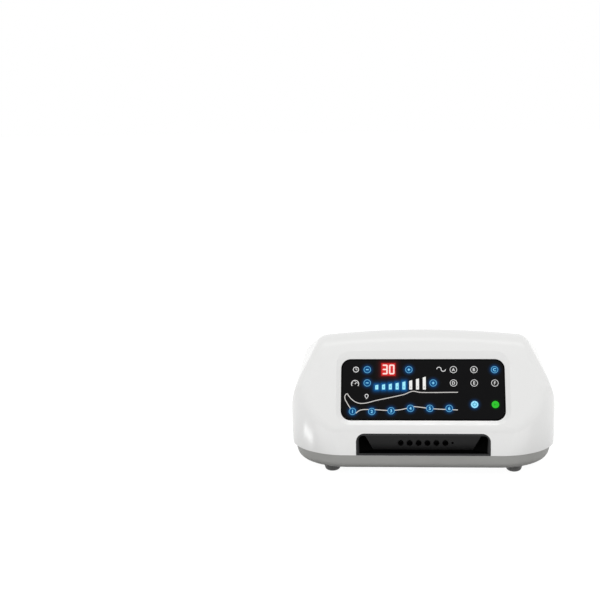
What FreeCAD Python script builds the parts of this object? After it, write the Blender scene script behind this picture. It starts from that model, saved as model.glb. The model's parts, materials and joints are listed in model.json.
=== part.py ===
import FreeCAD, Part
import math
import os
import Sketcher
from types import SimpleNamespace
from FreeCAD import Placement, Rotation, Vector

# Compression therapy pump: a desk console whose domed shell carries a leaning key panel
# and, low at the front, a six-way socket for the hose plug. Inside are a linear air pump,
# a rotary distributor valve and two circuit boards.
#
# Frame: +X to the right as the user sees it, +Y to the back, +Z up.
# The origin is on the table, under the middle of the console. Millimetres and degrees.

SIZES = {
    # console
    "body_width": 274.0,
    "body_depth": 205.0,
    "foot_height": 8.0,
    "parting_height": 24.0,
    "wall": 2.5,
    "plan_corner": 60.0,
    # front, face and roof of the shell, seen from the side
    "bend_rise": 27.25,
    "bend_setback": 2.0,
    "bend_radius": 15.0,
    "face_lean": 31.0,
    "face_run": 108.6,
    "ridge_radius": 32.0,
    "roof_fall": 17.5,
    "crown_radius": 934.0,
    "back_rise": 34.0,
    "back_lean": 4.0,
    "back_radius": 16.0,
    # sides of the shell, seen from the front
    "side_tuck": 1.8,
    "side_belly": 18.0,
    "side_turn": 55.0,
    "side_slope": 29.0,
    "side_radius": 95.0,
    "shoulder_radius": 14.0,
    # base tray
    "tray_step": 0.8,
    "tray_taper": 16.0,
    "tray_edge": 9.0,
    # key panel, set in a bevelled recess of the face
    "panel_rise": 10.0,
    "panel_width": 167.5,
    "panel_height": 65.0,
    "panel_corner": 10.0,
    "panel_thickness": 2.0,
    "panel_gap": 0.2,
    "bevel_depth": 3.0,
    "bevel_side": 5.0,
    "bevel_top": 8.0,
    "bevel_bottom": 5.5,
    "gasket_thickness": 0.5,
    "seat_depth": 3.5,
    "seat_width": 3.6,
    "seat_wall": 4.0,
    # keys
    "key_diameter": 8.8,
    "key_gap": 0.2,
    "key_travel": 0.5,
    "key_flange": 10.2,
    "key_flange_thickness": 1.0,
    "flange_gap": 0.1,
    "minus_column": -56.9,
    "time_plus_column": -14.1,
    "pressure_plus_column": 10.7,
    "upper_row": 53.8,
    "lower_row": 39.55,
    "mode_column": 31.5,
    "mode_pitch": 21.0,
    "power_row": 16.85,
    "position_column": -71.8,
    "position_pitch": 19.7,
    "foot_row": 9.3,
    "knee_row": 10.1,
    "thigh_row": 12.7,
    # control board and what it carries
    "board_thickness": 1.6,
    "board_margin": 3.0,
    "switch_side": 6.0,
    "switch_height": 1.4,
    "plunger_diameter": 3.4,
    "plunger_gap": 0.1,
    "display_column": -34.8,
    "display_row": 53.2,
    "display_width": 20.0,
    "display_height": 15.0,
    "bar_column": -46.8,
    "bar_pitch": 6.93,
    "bar_width": 3.4,
    "bar_row": 31.8,
    "bar_first": 5.3,
    "bar_last": 13.7,
    "light_height": 3.7,
    "receiver_width": 6.0,
    "receiver_height": 7.0,
    "receiver_thickness": 3.0,
    "receiver_column": 40.0,
    "receiver_row": 26.0,
    # hose socket
    "socket_width": 136.0,
    "socket_height": 22.5,
    "socket_corner": 8.5,
    "socket_rim": 2.0,
    "socket_depth": 14.0,
    "socket_draft": 5.0,
    "socket_draft_low": 15.0,
    "socket_draft_top": 0.5,
    "socket_gap": 0.2,
    "port_radius": 3.1,
    "port_pitch": 9.1,
    "port_height": 33.0,
    "port_length": 12.0,
    "port_floor": 1.0,
    "plate_thickness": 4.0,
    "guide_radius": 1.25,
    "guide_offset": 1.5,
    "ear_width": 10.0,
    "ear_length": 12.0,
    "ear_thickness": 3.0,
    # hoses inside
    "barb_radius": 2.5,
    "barb_length": 6.0,
    "barb_bore": 1.5,
    "hose_gap": 0.1,
    "hose_wall": 1.0,
    "hose_length": 26.0,
    # distributor valve
    "valve_width": 72.0,
    "valve_depth": 30.0,
    "valve_top": 44.0,
    "chamber_radius": 12.0,
    "chamber_depth": 16.0,
    "running_gap": 0.05,
    "end_gap": 0.3,
    "rotor_thickness": 12.0,
    "shaft_radius": 2.5,
    "shaft_length": 14.0,
    "motor_flange_width": 40.0,
    "motor_flange_depth": 28.0,
    "motor_flange_thickness": 3.0,
    "motor_radius": 13.0,
    "motor_height": 22.0,
    # linear air pump
    "pump_column": -70.0,
    "pump_row": 25.0,
    "pump_frame_width": 64.0,
    "pump_depth": 60.0,
    "pump_height": 50.0,
    "pump_wall": 6.0,
    "mount_height": 11.5,
    "mount_radius": 7.0,
    "head_width": 14.0,
    "head_bore": 17.0,
    "head_chamber": 8.0,
    "coil_width": 36.0,
    "coil_depth": 12.0,
    "coil_height": 30.0,
    "armature_depth": 18.0,
    "armature_height": 26.0,
    "diaphragm_gap": 0.3,
    "diaphragm_thickness": 3.0,
    "stroke": 1.5,
    "filter_radius": 10.0,
    "filter_height": 12.0,
    "supply_row": 10.0,
    "supply_rise": 12.0,
    # main board and what it carries
    "main_board_width": 84.0,
    "main_board_depth": 68.0,
    "main_board_inset": 75.0,
    "main_board_row": 30.0,
    "post_height": 9.5,
    "post_radius": 3.5,
    "post_inset": 6.0,
    "transformer_width": 38.0,
    "transformer_depth": 30.0,
    "transformer_height": 32.0,
    "winding_margin": 4.0,
    "capacitor_radius": 5.0,
    "capacitor_height": 16.0,
    "capacitor_pitch": 12.0,
    "fuse_radius": 2.6,
    "fuse_length": 20.0,
    "fuse_clip": 3.0,
    "fuse_lift": 3.5,
    "buzzer_radius": 6.0,
    "buzzer_height": 8.0,
    # mains inlet and rocker switch in the back wall
    "inlet_inset": 59.0,
    "switch_inset": 91.0,
    "mains_height": 46.0,
    "flange_thickness": 2.0,
    "mains_pad_depth": 6.0,
    "mains_pad_margin": 5.0,
    "mains_gap": 0.2,
    "inlet_flange_width": 30.0,
    "inlet_flange_height": 24.0,
    "inlet_body_width": 27.0,
    "inlet_body_height": 19.6,
    "inlet_body_depth": 24.0,
    "inlet_cavity_width": 24.0,
    "inlet_cavity_height": 16.0,
    "inlet_cavity_depth": 18.0,
    "pin_width": 2.0,
    "pin_height": 4.0,
    "pin_length": 12.0,
    "pin_pitch": 7.0,
    "pin_offset": 2.0,
    "rocker_flange_width": 15.0,
    "rocker_flange_height": 23.0,
    "rocker_body_depth": 20.0,
    "rocker_wall": 1.6,
    "rocker_gap": 0.3,
    "rocker_drop": 7.9,
    "rocker_radius": 7.6,
    "rocker_crest": 5.0,
    "rocker_swing": 20.0,
    "pivot_radius": 1.5,
    "pivot_length": 1.0,
    # vents
    "vent_width": 3.0,
    "vent_height": 24.0,
    "vent_pitch": 8.0,
    "vent_column": -62.0,
    "vent_lift": 12.0,
    # feet
    "foot_inset": 43.5,
    "foot_margin": 27.0,
    "foot_top_radius": 9.5,
    "foot_base_radius": 7.0,
    "foot_edge": 4.0,
    "foot_stem_radius": 3.0,
    "foot_stem_length": 2.3,
    "foot_stem_gap": 0.1,
    # fasteners
    "column_margin": 40.5,
    "column_inset": 19.0,
    "column_radius": 5.0,
    "housing_screw_radius": 2.0,
    "housing_head_radius": 3.7,
    "housing_head_height": 3.0,
    "housing_head_recess": 3.6,
    "housing_screw_length": 22.0,
    "small_screw_radius": 1.0,
    "small_head_radius": 1.9,
    "small_head_height": 1.2,
    "small_screw_grip": 3.0,
    "board_screw_low": 10.0,
    "board_screw_high": 55.0,
    "post_screw_radius": 1.4,
    "post_head_radius": 2.7,
    "post_head_height": 1.8,
    "post_screw_grip": 7.0,
    "screw_gap": 0.2,
    "thread_gap": 0.05,
}
MODE_LETTERS = "abcdef"
MODES_IN_ROW = 3
POSITION_ROWS = ("foot_row", "foot_row", "knee_row", "thigh_row", "thigh_row", "thigh_row")
PORTS = 6
BARS = 8
VENTS = 8
CAPACITORS = 3

S = SimpleNamespace(**SIZES)
doc = FreeCAD.newDocument("CompressionTherapyPump")
sheet = doc.addObject("Spreadsheet::Sheet", "Sizes")
for row, (alias, number) in enumerate(SIZES.items(), start=1):
    sheet.set(f"A{row}", alias)
    sheet.set(f"B{row}", str(number))
    sheet.setAlias(f"B{row}", alias)
doc.recompute()

NODES = []


# ---------------------------------------------------------------- places that several pieces share

FRONT = -S.body_depth / 2
BACK = S.body_depth / 2
SIDE = S.body_width / 2
TRAY_FLOOR = S.foot_height + S.wall
LEAN = math.radians(S.face_lean)
# where the face starts, at the bend above the socket, and the way up along the face
BEND = Vector(0, FRONT + S.bend_setback, S.parting_height + S.bend_rise)
UP_FACE = Vector(0, math.sin(LEAN), math.cos(LEAN))
OUT_OF_FACE = Vector(0, -math.cos(LEAN), math.sin(LEAN))
# the panel's own frame: x to the right, y up the face from the panel's lower edge, z out of it
PANEL = Placement(BEND + UP_FACE * S.panel_rise, Rotation(Vector(1, 0, 0), 90 - S.face_lean))
# heights above the face, in the panel's frame
PANEL_TOP = -S.bevel_depth
PANEL_BACK = PANEL_TOP - S.panel_thickness
SEAT = PANEL_BACK - S.gasket_thickness
BOARD_TOP = SEAT - S.seat_depth
# the hose socket
SOCKET_BACK = FRONT + S.socket_depth
PORT_BACK = SOCKET_BACK + S.port_length
SOCKET_TOP = S.parting_height + S.socket_height
SILL_TOP = S.parting_height + S.socket_rim
SOCKET_HALF = S.socket_width / 2
INNER_TOP = SOCKET_TOP - S.socket_rim - S.socket_draft_top
# half widths of the opening round the ports: at its top and at the sill
INNER_HALF = SOCKET_HALF - S.socket_rim - S.socket_draft
INNER_HALF_LOW = SOCKET_HALF - S.socket_rim - S.socket_draft_low
EAR_COLUMN = SOCKET_HALF + S.ear_width / 2
EAR_ROW = SOCKET_BACK + S.ear_length / 2 - S.socket_rim
# the valve stands behind the hoses that join it to the ports
VALVE_FRONT = PORT_BACK + S.hose_length + S.barb_length
VALVE_ROW = VALVE_FRONT + S.valve_depth / 2
CHAMBER_FLOOR = S.valve_top - S.chamber_depth
# the air pump
PUMP_BOTTOM = TRAY_FLOOR + S.mount_height
PUMP_TOP = PUMP_BOTTOM + S.pump_height
PUMP_MIDDLE = PUMP_BOTTOM + S.pump_height / 2
HEAD_COLUMN = S.pump_column + S.pump_frame_width / 2 + S.head_width / 2
# the main board
MAIN_BOARD_COLUMN = SIDE - S.main_board_inset
MAIN_BOARD_BOTTOM = TRAY_FLOOR + S.post_height
MAIN_BOARD_TOP = MAIN_BOARD_BOTTOM + S.board_thickness
# the mains inlet, the rocker switch, and the feet
INLET_COLUMN = SIDE - S.inlet_inset
SWITCH_COLUMN = SIDE - S.switch_inset
ROCKER_PIVOT = BACK - S.rocker_drop
FOOT_COLUMN = SIDE - S.foot_inset
FOOT_ROW = BACK - S.foot_margin


def key_places():
    """Node name and (column, row) of every key, as aliases of the sheet in expressions."""
    keys = {
        "key_time_minus": ("Sizes.minus_column", "Sizes.upper_row"),
        "key_time_plus": ("Sizes.time_plus_column", "Sizes.upper_row"),
        "key_pressure_minus": ("Sizes.minus_column", "Sizes.lower_row"),
        "key_pressure_plus": ("Sizes.pressure_plus_column", "Sizes.lower_row"),
    }
    for index, letter in enumerate(MODE_LETTERS):
        column = f"Sizes.mode_column + {index % MODES_IN_ROW} * Sizes.mode_pitch"
        line = "Sizes.upper_row" if index < MODES_IN_ROW else "Sizes.lower_row"
        keys[f"key_mode_{letter}"] = (column, line)
    for index, line in enumerate(POSITION_ROWS):
        column = f"Sizes.position_column + {index} * Sizes.position_pitch"
        keys[f"key_position_{index + 1}"] = (column, f"Sizes.{line}")
    keys["key_power"] = ("Sizes.mode_column + Sizes.mode_pitch", "Sizes.power_row")
    keys["key_start"] = ("Sizes.mode_column + 2 * Sizes.mode_pitch", "Sizes.power_row")
    return keys


# ---------------------------------------------------------------- helpers: features bound to the sheet


def node(obj):
    """Count an object as a sub-part that is written to its own file."""
    NODES.append(obj)
    return obj


def move(obj, x, y, z):
    for axis, text in zip("xyz", (x, y, z)):
        obj.setExpression(f"Placement.Base.{axis}", str(text))
    return obj


def box(name, length, depth, height, x, y, z):
    """A block centred on x and y, standing on z."""
    block = doc.addObject("Part::Box", name)
    block.setExpression("Length", length)
    block.setExpression("Width", depth)
    block.setExpression("Height", height)
    return move(block, f"({x}) - ({length}) / 2", f"({y}) - ({depth}) / 2", z)


def cylinder(name, radius, height, x, y, z, way="+Z"):
    """A cylinder that starts at a point and runs along +Z, +X, +Y or -Y."""
    turns = {
        "+Z": Rotation(),
        "+X": Rotation(Vector(0, 1, 0), 90),
        "+Y": Rotation(Vector(1, 0, 0), -90),
        "-Y": Rotation(Vector(1, 0, 0), 90),
    }
    bar = doc.addObject("Part::Cylinder", name)
    bar.setExpression("Radius", radius)
    bar.setExpression("Height", height)
    bar.Placement = Placement(Vector(), turns[way])
    return move(bar, x, y, z)


def fuse(name, *parts):
    whole = doc.addObject("Part::MultiFuse", name)
    whole.Shapes = list(parts)
    return whole


def cut(name, base, *tools):
    result = doc.addObject("Part::Cut", name)
    result.Base = base
    result.Tool = tools[0] if len(tools) == 1 else fuse(f"{name}_cutters", *tools)
    return result


def group(name, parts):
    """Several separate solids of one kind in one node."""
    several = doc.addObject("Part::Compound", name)
    several.Links = list(parts)
    return several


def feature(name, shape, placement=None):
    solid = doc.addObject("Part::Feature", name)
    solid.Shape = shape
    if placement:
        solid.Placement = placement
    return solid


def origin_plane(body, role):
    return next(plane for plane in body.Origin.OriginFeatures if plane.Role == role)


def new_body(name, placement=None):
    body = doc.addObject("PartDesign::Body", name)
    if placement:
        body.Placement = placement
    return body


def new_sketch(body, name, height="0", role="XY_Plane"):
    """A sketch on one of the body's own planes, lifted off it by an expression."""
    sketch = body.newObject("Sketcher::SketchObject", name)
    sketch.AttachmentSupport = [(origin_plane(body, role), "")]
    sketch.MapMode = "FlatFace"
    sketch.setExpression("AttachmentOffset.Base.z", str(height))
    return sketch


def datum(sketch, kind, text, *where):
    index = sketch.addConstraint(Sketcher.Constraint(kind, *where))
    sketch.setExpression(f"Constraints[{index}]", str(text))


def draw_circle(sketch, radius, x="0", y="0"):
    circle = sketch.addGeometry(Part.Circle(Vector(3, 2, 0), Vector(0, 0, 1), 1))
    datum(sketch, "Radius", radius, circle, 1.0)
    datum(sketch, "DistanceX", x, -1, 1, circle, 3, 3.0)
    datum(sketch, "DistanceY", y, -1, 1, circle, 3, 2.0)


def draw_rectangle(sketch, width, height, x="0", y="0"):
    """A rectangle with its centre at x, y."""
    left, right, low, high = -40.0, 40.0, -30.0, 30.0
    corners = [Vector(left, low), Vector(right, low), Vector(right, high), Vector(left, high)]
    sides = [sketch.addGeometry(Part.LineSegment(corners[k], corners[(k + 1) % 4])) for k in range(4)]
    for k, side in enumerate(sides):
        sketch.addConstraint(Sketcher.Constraint("Coincident", side, 2, sides[(k + 1) % 4], 1))
        sketch.addConstraint(Sketcher.Constraint("Vertical" if k % 2 else "Horizontal", side))
    datum(sketch, "DistanceX", width, sides[0], 1, sides[0], 2, right - left)
    datum(sketch, "DistanceY", height, sides[1], 1, sides[1], 2, high - low)
    datum(sketch, "DistanceX", f"({x}) + ({width}) / 2", -1, 1, sides[0], 2, right)
    datum(sketch, "DistanceY", f"({y}) + ({height}) / 2", -1, 1, sides[1], 2, high)


def draw_rounded(sketch, width, height, radius, x="0", y="0"):
    """A rectangle with rounded corners and its centre at x, y."""
    right, high, arc = 40.0, 30.0, 4.0
    ways = (Vector(1, -1), Vector(1, 1), Vector(-1, 1), Vector(-1, -1))
    centres = [Vector(way.x * (right - arc), way.y * (high - arc)) for way in ways]
    arcs = []
    for k, centre in enumerate(centres):
        start = math.radians(90 * k - 90)
        circle = Part.Circle(centre, Vector(0, 0, 1), arc)
        arcs.append(sketch.addGeometry(Part.ArcOfCircle(circle, start, start + math.pi / 2)))
    sides = []
    for k in range(4):
        start = Vector(math.cos(math.pi / 2 * k), math.sin(math.pi / 2 * k)) * arc
        begin, end = centres[k] + start, centres[(k + 1) % 4] + start
        sides.append(sketch.addGeometry(Part.LineSegment(begin, end)))
    for k in range(4):
        sketch.addConstraint(Sketcher.Constraint("Tangent", arcs[k], 2, sides[k], 1))
        sketch.addConstraint(Sketcher.Constraint("Tangent", sides[k], 2, arcs[(k + 1) % 4], 1))
        sketch.addConstraint(Sketcher.Constraint("Horizontal" if k % 2 else "Vertical", sides[k]))
        if k:
            sketch.addConstraint(Sketcher.Constraint("Equal", arcs[0], arcs[k]))
    datum(sketch, "Radius", radius, arcs[0], arc)
    datum(sketch, "DistanceX", width, sides[2], 1, sides[0], 1, 2 * right)
    datum(sketch, "DistanceY", height, sides[3], 1, sides[1], 1, 2 * high)
    datum(sketch, "DistanceX", f"({x}) + ({width}) / 2", -1, 1, sides[0], 1, right)
    datum(sketch, "DistanceY", f"({y}) + ({height}) / 2", -1, 1, sides[1], 1, high)


def pad(body, sketch, length, down=False, taper=None):
    extrusion = body.newObject("PartDesign::Pad", f"{sketch.Name}_pad")
    extrusion.Profile = sketch
    extrusion.setExpression("Length", str(length))
    extrusion.Reversed = down
    if taper:
        extrusion.setExpression("TaperAngle", taper)
    body.Tip = extrusion
    return extrusion


def pocket(body, sketch, depth, up=False, taper=None):
    """Cut a sketch down into the body, or up into it."""
    recess = body.newObject("PartDesign::Pocket", f"{sketch.Name}_pocket")
    recess.Profile = sketch
    recess.setExpression("Length", str(depth))
    recess.Reversed = up
    if taper:
        recess.setExpression("TaperAngle", taper)
    body.Tip = recess
    return recess


def round_level_edges(body, base, name, height, radius):
    """Round every edge of a feature that lies level at a height."""
    rounding = body.newObject("PartDesign::Fillet", name)
    level = [
        f"Edge{index}"
        for index, edge in enumerate(base.Shape.Edges, start=1)
        if abs(edge.BoundBox.ZMin - height) < 0.1 and abs(edge.BoundBox.ZMax - height) < 0.1
    ]
    rounding.Base = (base, level)
    rounding.setExpression("Radius", radius)
    body.Tip = rounding
    return rounding


def rounded_wire(points, radii, to_space):
    """A closed outline of straight runs with an arc of the given radius at each point."""
    ends = []
    for k, radius in enumerate(radii):
        corner = Vector(*points[k], 0)
        before = Vector(*points[k - 1], 0) - corner
        after = Vector(*points[(k + 1) % len(points)], 0) - corner
        if not radius:
            ends.append((corner, None, corner))
            continue
        before.normalize()
        after.normalize()
        half = before.getAngle(after) / 2
        run = radius / math.tan(half)
        centre = corner + (before + after).normalize() * (radius / math.sin(half))
        middle = centre + (corner - centre).normalize() * radius
        ends.append((corner + before * run, middle, corner + after * run))
    edges = []
    for k, (start, middle, end) in enumerate(ends):
        if middle is not None:
            edges.append(Part.Arc(to_space(start), to_space(middle), to_space(end)).toShape())
        following = ends[(k + 1) % len(ends)][0]
        edges.append(Part.LineSegment(to_space(end), to_space(following)).toShape())
    return Part.Wire(edges)


# ---------------------------------------------------------------- the shell's outer form


def side_block(inset, low):
    """Front, face and back of the shell: one outline seen from the side, run across the width."""
    front, back = FRONT + inset, BACK - inset
    face = BEND - OUT_OF_FACE * inset
    front_lean = S.bend_setback / S.bend_rise
    # the front line meets the face line at the bend
    rise = (face.y - front - UP_FACE.y / UP_FACE.z * (face.z - S.parting_height))
    rise /= front_lean - UP_FACE.y / UP_FACE.z
    bend = (front + front_lean * rise, S.parting_height + rise)
    above = S.face_run + S.parting_height + S.ridge_radius
    top = face + UP_FACE * ((above - face.z) / UP_FACE.z)
    back_low = S.parting_height + S.back_rise
    back_top = back - math.tan(math.radians(S.back_lean)) * (above - back_low)
    points = [
        (front + front_lean * (low - S.parting_height), low),
        bend,
        (top.y, above),
        (back_top, above),
        (back, back_low),
        (back, low),
    ]
    radii = [0, S.bend_radius, 0, 0, S.bend_radius, 0]
    # a little wider than the shell, so the sides cut both ends off
    reach = 1.2 * SIDE
    outline = rounded_wire(points, radii, lambda p: Vector(-reach, p.x, p.y))
    return Part.Face(outline).extrude(Vector(2 * reach, 0, 0))


def crown_block(inset):
    """Everything below the roof: a large cylinder that falls to the back from the ridge."""
    ridge = BEND + UP_FACE * S.face_run
    reach = 3 * S.body_depth
    crown = Part.makeCylinder(S.crown_radius - inset, reach, Vector(0, -reach / 2, 0), Vector(0, 1, 0))
    crown.rotate(Vector(), Vector(0, 1, 0), 180)
    crown.translate(Vector(0, 0, -S.crown_radius))
    crown.rotate(Vector(), Vector(1, 0, 0), -S.roof_fall)
    crown.translate(ridge)
    return crown


def highest_cross_edge(shape, first, last):
    """The highest edge that runs right across the shell between two depths."""
    across = [
        e
        for e in shape.Edges
        if e.BoundBox.XLength > S.body_width and first < e.BoundBox.YMin and e.BoundBox.YMax < last
    ]
    return max(across, key=lambda e: e.BoundBox.ZMax)


def dome(inset, low):
    """Front, face, roof and back, with the ridge and the back edge rounded."""
    rough = side_block(inset, low).common(crown_block(inset))
    ridge = highest_cross_edge(rough, 2 * FRONT, 0)
    rounded = rough.makeFillet(S.ridge_radius - inset, [ridge])
    rear = highest_cross_edge(rounded, BACK / 2, 2 * BACK)
    return rounded.makeFillet(S.back_radius - inset, [rear])


def side_walls(inset, low):
    """The two sides: an arch seen from the front, with round corners seen from above."""
    half = S.body_width / 2 - inset
    above = S.face_run + S.parting_height + S.ridge_radius
    slope = math.tan(math.radians(S.side_slope))
    turn = S.parting_height + S.side_turn
    right = [
        (half - S.side_tuck * (1 - (low - S.parting_height) / S.side_belly), low),
        (half, S.parting_height + S.side_belly),
        (half, turn),
        (half - slope * (above - turn), above),
    ]
    radii = [0, S.side_radius - inset, S.side_radius - inset, 0]
    left = [(-x, z) for x, z in right]
    outline = rounded_wire(
        left + right[::-1], radii + radii[::-1], lambda p: Vector(p.x, -S.body_depth, p.y)
    )
    arch = Part.Face(outline).extrude(Vector(0, 2 * S.body_depth, 0))
    # the plan block is a hair larger than the arch and the dome, so only its corners cut
    spare = 0.3
    x, y = half + spare, S.body_depth / 2 - inset + spare
    plan = rounded_wire(
        [(-x, -y), (x, -y), (x, y), (-x, y)],
        [S.plan_corner - inset] * 4,
        lambda p: Vector(p.x, p.y, low - 1),
    )
    return arch.common(Part.Face(plan).extrude(Vector(0, 0, 2 * above)))


def shell_form(inset, low):
    """The solid inside the shell's surface, or inside its inner surface."""
    body = dome(inset, low)
    skin = body.Shells[0]
    whole = body.common(side_walls(inset, low))
    owners = {}
    for face in whole.Faces:
        for edge in face.Edges:
            owners.setdefault(edge.hashCode(), []).append(face)

    def on_dome(face):
        u0, u1, v0, v1 = face.ParameterRange
        middle = Part.Vertex(face.valueAt((u0 + u1) / 2, (v0 + v1) / 2))
        return skin.distToShape(middle)[0] < 1e-4

    seam = []
    for edge in whole.Edges:
        faces = owners[edge.hashCode()]
        if len(faces) == 2 and on_dome(faces[0]) != on_dome(faces[1]) and edge.BoundBox.ZMax > low + 0.5:
            seam.append(edge)
    return whole.makeFillet(S.shoulder_radius - inset, seam)


def panel_wire(grow, height, corner, top=0.0, bottom=0.0):
    """The panel's outline, grown or shrunk, at a height in the panel's frame."""
    half = S.panel_width / 2 + grow
    low, high = -grow - bottom, S.panel_height + grow + top
    points = [(-half, low), (half, low), (half, high), (-half, high)]
    return rounded_wire(points, [corner] * 4, lambda p: Vector(p.x, p.y, height))


def panel_prism(grow, low, high):
    """The panel's outline, grown or shrunk, as a prism between two heights."""
    wire = panel_wire(grow, low, S.panel_corner + grow)
    prism = Part.Face(wire).extrude(Vector(0, 0, high - low))
    prism.Placement = PANEL
    return prism


def bevel_cutter():
    """The recess round the panel: its sides slope out to the face, widest at the top."""
    reach = 2.0
    share = (S.bevel_depth + reach) / S.bevel_depth
    inner = panel_wire(S.panel_gap, PANEL_TOP, S.panel_corner + S.panel_gap)
    outer = panel_wire(
        S.bevel_side * share,
        reach,
        S.panel_corner + S.bevel_side * share,
        (S.bevel_top - S.bevel_side) * share,
        (S.bevel_bottom - S.bevel_side) * share,
    )
    bevel = Part.makeLoft([inner, outer], True)
    bevel.Placement = PANEL
    return bevel


def socket_prism(grow, front, back):
    """The hose socket's outline, grown, as a prism between two depths, open at the bottom."""
    half, top, low = SOCKET_HALF + grow, SOCKET_TOP + grow, S.parting_height - S.wall
    corner = S.socket_corner + grow
    wire = rounded_wire(
        [(-half, low), (half, low), (half, top), (-half, top)],
        [0, 0, corner, corner],
        lambda p: Vector(p.x, front, p.y),
    )
    return Part.Face(wire).extrude(Vector(0, back - front, 0))


def mains_pads():
    """Thick pads inside the back wall behind the inlet and the rocker switch."""
    pads = []
    for column, width, height in mains_cutouts():
        wide, tall = width + 2 * S.mains_pad_margin, height + 2 * S.mains_pad_margin
        corner = Vector(column - wide / 2, BACK - S.mains_pad_depth, S.mains_height - tall / 2)
        pads.append(Part.makeBox(wide, S.mains_pad_depth, tall, corner))
    return pads


def mains_cutouts():
    """Column and flange size of the inlet and the rocker switch."""
    return (
        (INLET_COLUMN, S.inlet_flange_width, S.inlet_flange_height),
        (SWITCH_COLUMN, S.rocker_flange_width, S.rocker_flange_height),
    )


def mains_cutters():
    """Flange recesses and body windows in the back wall."""
    cutters = []
    bodies = (
        (INLET_COLUMN, S.inlet_body_width, S.inlet_body_height),
        (SWITCH_COLUMN, S.rocker_flange_width - 2, S.rocker_flange_height - 2),
    )
    for sizes, depth in ((mains_cutouts(), S.flange_thickness), (bodies, S.mains_pad_depth + 1)):
        for column, width, height in sizes:
            wide, tall = width + 2 * S.mains_gap, height + 2 * S.mains_gap
            corner = Vector(column - wide / 2, BACK - depth, S.mains_height - tall / 2)
            cutters.append(Part.makeBox(wide, 2 * depth, tall, corner))
    return cutters


def vent_cutters():
    """Upright slots with round ends in the back wall, behind the air pump."""
    cutters = []
    for index in range(VENTS):
        x = S.vent_column + (index - (VENTS - 1) / 2) * S.vent_pitch
        low = S.parting_height + S.vent_lift
        high = low + S.vent_height
        half = S.vent_width / 2
        wire = rounded_wire(
            [(x - half, low), (x + half, low), (x + half, high), (x - half, high)],
            [half * 0.98] * 4,
            lambda p: Vector(p.x, BACK - 3 * S.wall, p.y),
        )
        cutters.append(Part.Face(wire).extrude(Vector(0, 6 * S.wall, 0)))
    return cutters


def column_places():
    return [
        (x, y)
        for x in (S.column_inset - SIDE, SIDE - S.column_inset)
        for y in (FRONT + S.column_margin, BACK - S.column_margin)
    ]


def upper_housing():
    """White shell: walls, screw columns, the panel's seat and all openings."""
    outer = shell_form(0.0, S.parting_height)
    inner = shell_form(S.wall, S.parting_height - S.wall)
    under_skin = shell_form(S.wall / 2, S.parting_height)
    columns = [
        Part.makeCylinder(S.column_radius, S.face_run + S.parting_height, Vector(x, y, S.parting_height))
        for x, y in column_places()
    ]
    seat = panel_prism(S.seat_wall, BOARD_TOP, -S.wall / 2)
    inside = Part.makeCompound(columns + [seat] + mains_pads())
    inside = under_skin.common(inside)
    shell = outer.cut(inner).fuse(inside).removeSplitter()
    pilots = [
        Part.makeCylinder(
            S.housing_screw_radius + S.thread_gap, S.housing_screw_length, Vector(x, y, S.parting_height)
        )
        for x, y in column_places()
    ]
    openings = [
        bevel_cutter(),
        panel_prism(S.panel_gap, SEAT, PANEL_TOP + 0.5),
        panel_prism(-S.seat_width, BOARD_TOP - 1, SEAT + 0.5),
        socket_prism(S.socket_gap, FRONT - 5, SOCKET_BACK - S.socket_rim),
    ]
    for x, y in board_screw_places():
        pilot = Part.makeCylinder(
            S.small_screw_radius + S.thread_gap, S.small_screw_grip + 0.2, Vector(x, y, BOARD_TOP - 0.1)
        )
        pilot.Placement = PANEL.multiply(pilot.Placement)
        openings.append(pilot)
    cutters = openings + pilots + mains_cutters() + vent_cutters()
    return node(feature("upper_housing", shell.cut(cutters)))


# ---------------------------------------------------------------- base tray and feet


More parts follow.
